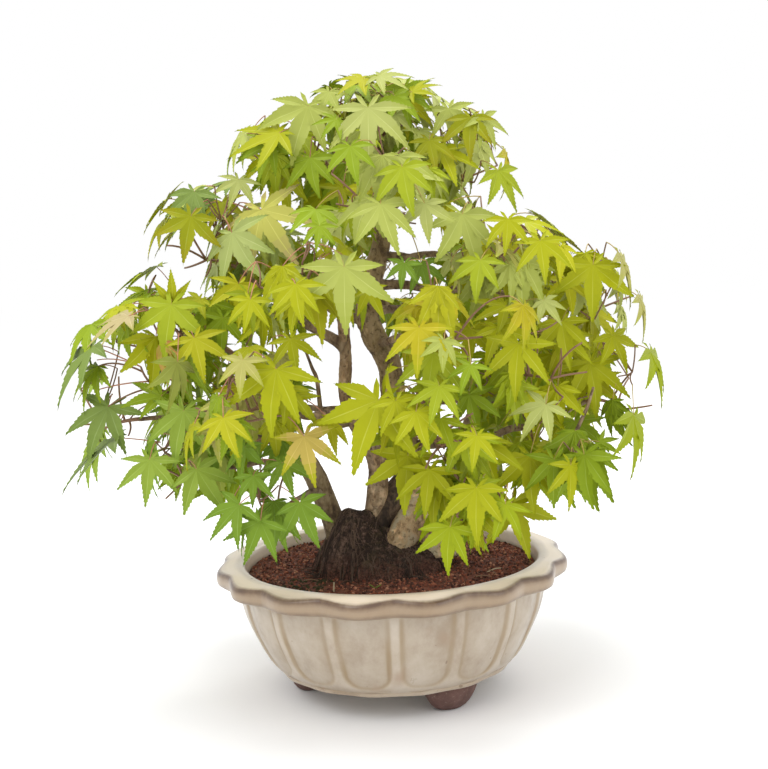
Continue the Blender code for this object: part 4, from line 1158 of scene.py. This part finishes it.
def joinedTubes(tubes, sides):
    # many thin tubes in one mesh; each is its places with radii, and a material number
    points, faces, kinds = [], [], []
    around = [(math.cos(math.tau * i / sides), math.sin(math.tau * i / sides), 0.0) for i in range(sides)]
    for path, kind in tubes:
        start = len(points)
        for place in ringFrames(path):
            points += [place @ Vector(spot) for spot in around]
        for row in range(len(path) - 1):
            for i in range(sides):
                low = start + row * sides
                j = (i + 1) % sides
                faces.append((low + i, low + j, low + sides + j, low + sides + i))
                kinds.append(kind)
        faces.append(tuple(reversed(range(start, start + sides))))
        faces.append(tuple(range(len(points) - sides, len(points))))
        kinds += [kind, kind]
    mesh = bpy.data.meshes.new("tubes")
    mesh.from_pydata([tuple(point) for point in points], [], faces)
    mesh.polygons.foreach_set("material_index", np.array(kinds, np.int32))
    return mesh


def arch(start, bend, end, count, thick, thin):
    path = []
    for i in range(count + 1):
        t = i / count
        place = start * (1 - t) ** 2 + bend * 2 * t * (1 - t) + end * t**2
        path.append((place, thick + (thin - thick) * t))
    return path


def spread(count, turn):
    # directions spread evenly over a ball, from the top down
    for i in range(count):
        up = 1 - (2 * i + 1) / count
        flat = math.sqrt(1 - up * up)
        angle = i * math.pi * (3 - math.sqrt(5)) + turn
        yield Vector((flat * math.cos(angle), flat * math.sin(angle), up))


def pastWall(mass, point):
    # how far a point lies past the nearest wall between its own mass and the others
    centre, size = massBalls[mass]
    own = (point - centre).length_squared - size**2
    worst = -1.0
    for other, (place, theirSize) in massBalls.items():
        if other != mass:
            theirs = (point - place).length_squared - theirSize**2
            worst = max(worst, (own - theirs) / (2 * (place - centre).length))
    return worst


def inReach(mass, point):
    centre, radii = massPlan[mass]
    return sum(((p - c) / r) ** 2 for p, c, r in zip(point, centre, radii)) < crownForm["overhang"] ** 2


def inOutline(point):
    # inside the crown's outline and in none of its see-through places, seen from the front
    eye = Vector(crownForm["seenFrom"])
    ray = point - eye
    seen = eye + ray * (-eye.y / ray.y)
    if any(left < seen.x < right and low < seen.z < high for left, right, low, high in crownForm["openings"]):
        return False
    inside = False
    outline = crownForm["outline"]
    for (x0, z0), (x1, z1) in zip(outline, outline[1:] + outline[:1]):
        if (z0 > seen.z) != (z1 > seen.z) and seen.x < x0 + (seen.z - z0) / (z1 - z0) * (x1 - x0):
            inside = not inside
    return inside


def leafSet(way, out, rng):
    # how a leaf held out in one direction hangs: along its midrib, and the way it faces
    up = Vector((0, 0, 1))
    out = Vector((out.x, out.y, 0)).normalized()
    level, less, loose = crownForm["fall"]
    least, most = crownForm["fallBetween"]
    fall = math.radians(min(most, max(least, level - less * way.z + rng.uniform(-loose, loose))))
    axis = out * math.cos(fall) - up * math.sin(fall)
    face = out * math.sin(fall) + up * math.cos(fall)
    face.rotate(Matrix.Rotation(rng.uniform(-crownForm["twist"], crownForm["twist"]), 3, axis))
    return axis.normalized(), face.normalized()


class Crowd:
    # what already stands in the crown, by cells, to keep new leaves clear of it

    def __init__(self):
        self.cells = {}
        self.cell = crownForm["cell"]

    def spots(self, middle):
        x, y, z = (math.floor(c / self.cell) for c in middle)
        return [(x + i, y + j, z + k) for i in (-1, 0, 1) for j in (-1, 0, 1) for k in (-1, 0, 1)]

    def add(self, middle, tree):
        key = tuple(math.floor(c / self.cell) for c in middle)
        self.cells.setdefault(key, []).append((middle, tree))

    def touches(self, middle, tree):
        for key in self.spots(middle):
            for place, other in self.cells.get(key, ()):
                if (place - middle).length < crownForm["near"] and tree.overlap(other):
                    return True
        return False


def leafFits(mass, base, axis, face, size, crowd):
    spots = proxyPoints(base, axis, face, size)
    middle = base + axis * crownForm["middle"] * leafForm["length"] * size
    if pastWall(mass, middle) > crownForm["wallSlack"]:
        return None
    if not all(inReach(mass, spot) and inOutline(spot) for spot in spots):
        return None
    if not all(inOutline(base.lerp(spot, crownForm["halfway"])) for spot in spots):
        return None
    if any(spot.z < crownForm["lowest"] for spot in spots) or not inOutline(base) or hides(base, axis, size):
        return None
    if any(pastWall(mass, spot) > crownForm["wallCrossing"] for spot in spots):
        return None
    tree = proxyTree(base, spots)
    if crowd.touches(middle, tree):
        return None
    return middle, tree


def hungLeaf(row):
    # a leaf of the front, from its row: place, turn from straight down, lean to the front, roll
    x, y, z, turn, lean, roll, size, colour, *form = row
    turn, lean, roll = (math.radians(angle) for angle in (turn, lean, roll))
    axis = Vector((math.sin(turn) * math.cos(lean), -math.sin(lean), -math.cos(turn) * math.cos(lean)))
    face = Vector((0.0, -1.0, 0.45))
    face = (face - axis * face.dot(axis)).normalized()
    face.rotate(Matrix.Rotation(roll, 3, axis))
    return Vector((x, y, z)) * 0.001, axis, face, size, colour, form[0] if form else None


def twigAndStalks(start, end, leaves, rng):
    lift = Vector((rng.uniform(-1, 1), rng.uniform(-1, 1), rng.uniform(-1, 1))) * 0.0025
    tubes = [(arch(start, start.lerp(end, 0.5) + lift, end, 5, crownForm["twig"], 0.0004), 0)]
    for leaf in leaves:
        base = leaf[0]
        sag = end.lerp(base, 0.5) + Vector((0, 0, 0.15 * (base - end).length))
        tubes.append((arch(end, sag, base, 5, crownForm["stalk"], 0.8 * crownForm["stalk"]), 1))
    return tubes


def hides(base, axis, size):
    # whether a leaf would stand before one of the front's own leaves and cover its middle
    eye = Vector(crownForm["seenFrom"])
    share, reach, behind = crownForm["hidden"]
    middle = base + axis * share * leafForm["length"] * size
    for place, far in frontSpots:
        if middle.y < place.y + behind:
            ray = place - eye
            seen = eye + ray * ((middle.y - eye.y) / ray.y)
            if (seen - middle).length < far + reach * leafForm["length"] * size:
                return True
    return False


def growMass(mass, start, heading, crowd, rng):
    # gives back the mass's leaves, as place, midrib, face, size, colour and form, and its twigs as tubes
    centre, radii = Vector(massPlan[mass][0]), Vector(massPlan[mass][1])
    goal = centre - Vector((0, 0, 0.2 * radii.z))
    bend = start + heading * 0.5 * (goal - start).length
    leader = arch(start - heading * 0.001, bend, goal, 10, *crownForm["leader"])
    tubes = [(leader, 0)]
    carriers = [place for place, _ in leader[3:]]
    for way in spread(crownForm["branchlets"], rng.uniform(0, math.tau)):
        end = centre + Vector([0.5 * r * w for r, w in zip(radii, way)])
        root = min((place for place, _ in leader[2:]), key=lambda spot: (spot - end).length)
        if (end - root).length < crownForm["shortest"]:
            continue
        lift = Vector((rng.uniform(-1, 1), rng.uniform(-1, 1), rng.uniform(-0.5, 1.5))) * 0.0035
        path = arch(root, root.lerp(end, 0.5) + lift, end, 6, *crownForm["branchlet"])
        tubes.append((path, 0))
        carriers += [place for place, _ in path[2:]]
    leaves = []
    for number, row in enumerate(frontLeaves.get(mass, ())):
        leaf = hungLeaf(row)
        base, axis = leaf[:2]
        start = min(carriers, key=lambda spot: (spot - base).length)
        back = (start - base).normalized() - axis * 0.9
        end = base + back.normalized() * min(0.016 + 0.001 * (number % 5), 0.6 * (start - base).length)
        tubes += twigAndStalks(start, end, [leaf], rng)
        leaves.append(leaf)
    ways = list(spread(crownForm["ways"], rng.uniform(0, math.tau)))
    rng.shuffle(ways)
    for way in ways:
        for _ in range(crownForm["tries"]):
            if len(leaves) >= crownForm["fewer"].get(mass, crownForm["leavesPerMass"]):
                break
            turned = (way + Vector([rng.uniform(-0.25, 0.25) for _ in range(3)])).normalized()
            grown = growSpray(mass, turned, carriers, crowd, rng)
            if grown:
                leaves += grown[0]
                tubes += grown[1]
                break
    return leaves, tubes


def growSpray(mass, way, carriers, crowd, rng):
    # a leaf held out in one direction on a twig, and its neighbours beside it
    centre, radii = Vector(massPlan[mass][0]), Vector(massPlan[mass][1])
    share, limit, push = crownForm["towardFront"]
    frontOrBack = -1.0 if centre.y + share * radii.y * way.y < limit else 1.0
    own, crown = crownForm["outward"]
    outward = Vector((way.x, way.y, 0)) * own + Vector((centre.x, centre.y, 0)) * crown
    outward += Vector((0.0, frontOrBack, 0.0)) * push
    outward.rotate(Matrix.Rotation(rng.uniform(-crownForm["turned"], crownForm["turned"]), 3, "Z"))
    size = rng.uniform(*leafForm["sizes"])
    axis, face = leafSet(way, outward, rng)
    shell = rng.uniform(*crownForm["tipShell"])
    tip = centre + Vector([r * w * shell for r, w in zip(radii, way)])
    base = tip - (axis - face * leafForm["droop"]) * leafForm["length"] * size
    first = leafFits(mass, base, axis, face, size, crowd)
    if not first:
        return None
    start = min(carriers, key=lambda spot: (spot - base).length + rng.uniform(0, 0.005))
    back = (start - base).normalized() - axis * 0.8
    end = base + back.normalized() * rng.uniform(*crownForm["stalkLengths"])
    crowd.add(*first)
    leaves = [(base, axis, face, size, None, None)]
    for sign in (1, -1):
        for _ in range(crownForm["sideTries"]):
            stalk = base - end
            stalk.rotate(Matrix.Rotation(sign * math.radians(rng.uniform(*crownForm["sideTurns"])), 3, "Z"))
            stalk.z += rng.uniform(-crownForm["sideLift"], crownForm["sideLift"])
            side = end + stalk.normalized() * rng.uniform(*crownForm["stalkLengths"])
            turned = outward.copy()
            turned.rotate(Matrix.Rotation(sign * math.radians(rng.uniform(*crownForm["sideFaces"])), 3, "Z"))
            size = rng.uniform(*leafForm["sizes"])
            pose = leafSet(way, turned, rng)
            fit = leafFits(mass, side, *pose, size, crowd)
            if fit:
                crowd.add(*fit)
                leaves.append((side, *pose, size, None, None))
                break
    return leaves, twigAndStalks(start, end, leaves, rng)


leafColours = {  # the blade by the stalk and the lobes' ends
    "deep": ((0.172, 0.275, 0.022), (0.151, 0.250, 0.020)),
    "green": ((0.239, 0.325, 0.012), (0.218, 0.305, 0.010)),
    "freshgreen": ((0.255, 0.350, 0.042), (0.229, 0.330, 0.036)),
    "fresh": ((0.317, 0.375, 0.014), (0.291, 0.355, 0.012)),
    "limegreen": ((0.291, 0.350, 0.006), (0.270, 0.335, 0.005)),
    "lime": ((0.359, 0.375, 0.005), (0.333, 0.360, 0.005)),
    "yellow": ((0.400, 0.395, 0.010), (0.374, 0.380, 0.008)),
    "palegreen": ((0.372, 0.415, 0.085), (0.345, 0.395, 0.065)),
    "pale": ((0.400, 0.435, 0.120), (0.375, 0.415, 0.090)),
    "palemint": ((0.374, 0.430, 0.130), (0.338, 0.410, 0.105)),
    "mint": ((0.195, 0.270, 0.056), (0.172, 0.250, 0.046)),
    "olive": ((0.276, 0.295, 0.005), (0.296, 0.280, 0.006)),
    "gold": ((0.430, 0.375, 0.012), (0.350, 0.360, 0.008)),
    "tanlime": ((0.420, 0.400, 0.110), (0.385, 0.400, 0.060)),
    "cream": ((0.620, 0.600, 0.130), (0.560, 0.480, 0.170)),
    "tan": ((0.478, 0.400, 0.190), (0.416, 0.380, 0.120)),
    "peach": ((0.500, 0.385, 0.080), (0.375, 0.375, 0.012)),
    "rust": ((0.395, 0.290, 0.050), (0.447, 0.230, 0.060)),
}
veinTone = {"share": 1.13, "lift": 0.036}  # how much paler than its blade a leaf's veins are
frontLeaves = {  # stalk's end in mm, turn, lean and roll in degrees, size, colour and a form's number
    "top_front": [
        (-2, -71, 315, 3, 18, 0, 1.21, "pale"), (2, -98, 266, 12, 22, -8, 1.01, "palegreen"),
        (-11, -93, 294, 5, 30, 0, 0.75, "green"), (13, -95, 283, 6, 22, 5, 0.89, "fresh"),
        (23, -90, 266, 2, 20, 0, 0.73, "pale"), (21, -71, 238, 15, 15, -10, 0.69, "deep"),
        (-18, -71, 310, -34, 30, 0, 0.52, "green"),
    ],
    "upper_front": [
        (-16, -113, 237, -3, 15, 0, 1.16, "palegreen"), (-38, -122, 230, 2, 25, 0, 0.78, "lime"),
        (-59, -119, 224, -10, 25, 0, 0.64, "lime"), (-27, -100, 257, -7, 30, 0, 0.53, "green"),
        (-5, -104, 226, 24, 25, -10, 0.59, "lime"),
    ],
    "upper_left": [
        (-60, -41, 270, 30, 25, 10, 1.44, "cream"), (-74, -56, 258, 24, 20, 25, 1.16, "palemint"),
        (-93, -50, 280, -17, 15, 15, 0.87, "mint"), (-94, -58, 267, -13, 15, -10, 0.89, "olive"),
        (-72, -32, 287, -14, 30, 0, 0.72, "pale"),
    ],
    "top_left": [
        (-33, -42, 322, -21, 20, -10, 1.18, "palegreen"), (-33, -47, 295, 3, 22, 5, 0.86, "green"),
        (-17, -35, 280, -53, 25, 0, 0.69, "lime"), (-48, -48, 308, -66, 10, 20, 1.1, "lime"),
        (-52, -47, 303, -32, 12, 10, 0.8, "green"),
    ],
    "apex": [
        (-4, -39, 335, -65, 30, 25, 0.64, "yellow"), (4, -39, 336, 66, 25, -25, 0.74, "pale"),
        (21, -41, 327, 110, 20, -30, 0.61, "lime"), (-22, -35, 330, -26, 28, 15, 0.65, "palegreen"),
        (12, -43, 325, 43, 25, -15, 0.73, "green"),
    ],
    "top_right": [
        (40, -33, 319, 9, 20, 0, 0.86, "palegreen"), (51, -39, 313, -8, 20, 5, 0.84, "olive"),
        (57, -38, 313, 30, 10, -20, 0.72, "palegreen"), (64, -42, 285, 22, 8, -30, 0.91, "fresh"),
        (29, -40, 302, 14, 25, -10, 0.75, "olive"),
    ],
    "upper_right": [
        (42, -76, 261, 13, 15, -25, 1.28, "palegreen"), (63, -86, 257, -6, 25, 0, 0.73, "lime"),
        (78, -88, 246, 8, 20, -5, 0.85, "lime"), (49, -88, 238, -16, 25, 10, 0.79, "fresh"),
    ],
    "right_top": [
        (112, -42, 234, -7, 20, 0, 1.12, "lime"), (95, -40, 205, 3, 25, 0, 0.96, "lime"),
        (127, -40, 238, 14, 12, -62, 1.05, "tanlime", 4), (137, -38, 216, 8, 10, -64, 0.9, "tanlime", 4),
    ],
    "right_mid": [
        (66, -88, 197, -9, 20, 0, 1.14, "lime"), (73, -64, 138, -7, 20, 0, 1.13, "lime"),
        (45, -64, 204, -13, 20, 5, 0.84, "lime"), (63, -64, 215, -67, 25, 15, 0.79, "lime"),
        (81, -74, 217, 32, 28, -10, 0.55, "pale"), (43, -64, 171, 10, 22, 0, 0.93, "green"),
        (78, -90, 167, -47, 22, 15, 0.89, "pale"),
    ],
    "right_outer": [
        (111, -31, 182, 9, 20, -5, 1.19, "lime"), (142, -38, 187, 14, 14, -58, 1.15, "limegreen", 4),
        (131, -44, 154, -1, 12, -56, 1.28, "limegreen", 4), (122, -35, 162, 2, 10, 55, 0.96, "green", 9),
        (124, -29, 196, 22, 12, -25, 0.81, "lime"), (103, -25, 150, 10, 15, -10, 1.06, "green"),
    ],
    "centre_right": [
        (17, -120, 208, -1, 22, 5, 0.93, "gold"), (12, -97, 238, -12, 20, 0, 0.56, "deep"),
        (28, -123, 202, -11, 25, -15, 0.59, "palegreen"), (40, -120, 190, -29, 25, 10, 0.61, "green"),
    ],
    "centre_low": [
        (41, -125, 158, -7, 25, 5, 0.66, "lime"), (-3, -113, 175, -26, 15, 10, 1.35, "lime"),
        (14, -124, 170, 10, 25, -5, 0.77, "lime"), (25, -122, 181, -13, 25, 0, 0.75, "fresh"),
        (5, -119, 175, 12, 20, -10, 0.74, "lime"),
    ],
    "low_right": [
        (10, -91, 145, -9, 15, 5, 1.07, "lime"), (41, -114, 132, -6, 20, 0, 0.96, "lime"),
        (28, -114, 114, -14, 18, 5, 0.86, "limegreen"), (20, -99, 139, -5, 15, 10, 0.92, "lime"),
        (54, -115, 124, -18, 15, 5, 0.74, "limegreen"),
    ],
    "right_low": [
        (65, -44, 110, 16, 15, -10, 1.14, "lime"), (84, -72, 137, -5, 15, 0, 1.0, "green"),
        (99, -73, 139, -4, 10, 30, 1.07, "green"), (92, -74, 134, 0, 12, -30, 0.89, "lime"),
        (106, -50, 141, -8, 8, 30, 1.32, "green", 9), (98, -55, 149, -9, 8, -35, 1.45, "green", 9),
        (111, -52, 142, 60, 20, 0, 0.5, "green", 1),
    ],
    "left_front": [
        (-39, -101, 158, 10, 20, -5, 1.01, "peach"), (-75, -114, 170, 15, 32, 0, 0.8, "yellow"),
        (-50, -107, 191, -15, 15, 5, 1.24, "lime"), (-44, -91, 204, 15, 25, 0, 0.75, "lime"),
        (-65, -110, 196, -8, 30, 0, 0.74, "tanlime"), (-27, -91, 164, 5, 20, -20, 0.67, "yellow"),
        (-93, -90, 164, -20, 15, 62, 0.85, "lime", 4),
    ],
    "left_mid": [
        (-93, -75, 206, 18, 20, 0, 0.93, "yellow", 0), (-105, -62, 224, 178, 15, 0, 0.66, "lime", 1),
        (-127, -65, 218, -65, 12, 45, 0.98, "tan", 4), (-105, -66, 223, -12, 18, 10, 1.1, "fresh", 3),
        (-115, -60, 207, -4, 15, -25, 1.05, "lime", 8), (-110, -68, 204, 4, 15, 50, 0.95, "rust", 9),
        (-130, -55, 215, -8, 15, 40, 0.82, "green", 8),
        (-100, -85, 195, -10, 15, -66, 0.98, "palegreen", 4),
        (-115, -56, 176, -86, 18, 15, 0.76, "green", 2), (-92, -57, 225, -48, 30, 10, 0.52, "lime"),
    ],
    "far_left": [
        (-151, -45, 203, -42, 12, 45, 1.3, "mint", 2), (-150, -42, 192, -36, 20, 35, 0.98, "green", 6),
        (-145, -46, 171, -26, 26, 8, 1.28, "mint", 1), (-143, -44, 154, -56, 10, 60, 1.45, "mint", 4),
    ],
    "lower_left": [
        (-119, -74, 146, 0, 22, -5, 0.92, "freshgreen", 0),
        (-102, -66, 169, -15, 18, 5, 1.2, "freshgreen", 1),
        (-96, -73, 140, 34, 20, -10, 0.98, "freshgreen", 2),
    ],
    "low_left": [
        (-65, -95, 139, -1, 20, 5, 0.61, "deep"), (-72, -99, 126, -46, 15, 20, 0.88, "deep"),
        (-62, -101, 118, -19, 15, 0, 0.86, "deep"), (-43, -95, 125, 19, 15, -5, 0.85, "deep"),
        (-51, -90, 144, 22, 20, 0, 0.71, "deep"),
    ],
}


def paintedLightTone(place):
    # painted light and shade: the front's own leaves are darker, those behind them and away from the crown's
    # edge paler, standing for the light that comes through the leaves
    if place.y < -0.075:
        return "Front"
    inner = place.y < 0.0 and ((place.x + 0.005) / 0.135) ** 2 + ((place.z - 0.205) / 0.115) ** 2 < 1
    return "Inner" if inner else "Outer"


def leafFinishes():
    # for each colour and place, the finishes of a leaf's blade, vein, between and tip, scaled by the place's
    # share of painted light and shade
    finishes = {}
    for name, (blade, tip) in leafColours.items():
        for place, share in crownForm["tones"].items():
            vein = tuple(veinTone["share"] * part + veinTone["lift"] for part in blade)
            between = tuple((a + b) / 2 for a, b in zip(blade, tip))
            parts = {"Blade": blade, "Vein": vein, "Between": between, "Tip": tip}
            finishes[name, place] = [
                newFinish(name + place + part, tuple(share * c for c in tone), 0.5, Specular_IOR_Level=0.15)
                for part, tone in parts.items()
            ]
    return finishes


def massStarts(stemPaths):
    # where each mass's twigs begin, and the way they head there
    starts = {}
    for mass, stem, height, radius, lift in boughPlan.values():
        path = boughPath(mass, stemPaths[stem], height, radius, lift)
        starts[mass] = path[-1][0], (path[-1][0] - path[-2][0]).normalized()
    for mass, stem in tipMasses.items():
        path = stemPaths[stem]
        starts[mass] = path[-1][0], (path[-1][0] - path[-2][0]).normalized()
    for mass, (stem, height) in sideMasses.items():
        place, radius, ahead = atHeight(stemPaths[stem], height)
        way = Vector(massPlan[mass][0]) - place
        way = (way - ahead * way.dot(ahead)).normalized()
        starts[mass] = place + way * radius, way
    return starts


def joinedLeaves(leaves, tones, templates, rng):
    # a mass's leaves in one mesh, and the tones its material numbers stand for, four to a tone
    used = sorted(set(tones))
    points, faces, kinds = [], [], []
    count = 0
    for (base, axis, face, size, colour, kind), tone in zip(leaves, tones):
        number = rng.randrange(crownForm["openForms"] if colour else len(templates))
        form, formFaces, formKinds = templates[number if kind is None else kind]
        turn = np.array((axis, face.cross(axis), face))
        points.append(form * leafForm["length"] * size @ turn + np.array(base))
        faces += [tuple(i + count for i in corners) for corners in formFaces]
        kinds.append(formKinds + 4 * used.index(tone))
        count += len(form)
    mesh = bpy.data.meshes.new("leaves")
    mesh.from_pydata(np.concatenate(points).tolist(), [], faces)
    mesh.polygons.foreach_set("material_index", np.concatenate(kinds))
    return mesh, used


def makeCrown(stemPaths):
    rng = random.Random(31)
    templates = [leafTemplate(rng, closed) for closed in leafForm["closed"]]
    finishes = leafFinishes()
    twig = newFinish("brownTwig", (0.240, 0.130, 0.070), 0.7)
    redStalk = newFinish("redStalk", (0.460, 0.200, 0.110), 0.6)
    limeStalk = newFinish("limeStalk", (0.420, 0.300, 0.070), 0.6)
    crowd = Crowd()
    for rows in frontLeaves.values():
        for row in rows:
            base, axis, face, size = hungLeaf(row)[:4]
            middle = base + axis * crownForm["middle"] * leafForm["length"] * size
            crowd.add(middle, proxyTree(base, proxyPoints(base, axis, face, size)))
            frontSpots.append((middle, crownForm["ownReach"] * leafForm["length"] * size))
    starts = massStarts(stemPaths)
    total = 0
    for mass in massPlan:
        leaves, tubes = growMass(mass, *starts[mass], crowd, rng)
        for start, bend, end, radius in frontTwigs.get(mass, ()):
            path = arch(Vector(start), Vector(bend), Vector(end), 8, radius, 0.7 * radius)
            tubes.append((path, 1 if radius < 0.0005 else 0))
        total += len(leaves)
        names = massTable[mass][6].split()
        # painted light and shade by place: the front's own leaves darker, the rest paler
        tones = [
            (colour, "Front") if colour else (rng.choice(names), paintedLightTone(base))
            for base, _, _, _, colour, _ in leaves
        ]
        mesh, used = joinedLeaves(leaves, tones, templates, rng)
        leafSides = [finish for tone in used for finish in finishes[tone]]
        finishPiece("foliage_" + mass, mesh, leafSides, ["leaves_" + mass], 25)
        stalk = redStalk if massPlan[mass][0][0] < -0.03 else limeStalk
        finishPiece("twigs_" + mass, joinedTubes(tubes, 5), [twig, stalk], (), 180)
    print("crown made,", total, "leaves")


makeStudio()
makePot()
makeFeet()
makeSoil()
makeCrumbs()
makeLitter()
makeMound()
massBalls = {name: (Vector(place), sum(radii) / 3) for name, (place, radii) in massPlan.items()}
stemPaths = makeLimbs()
makeCrown(stemPaths)
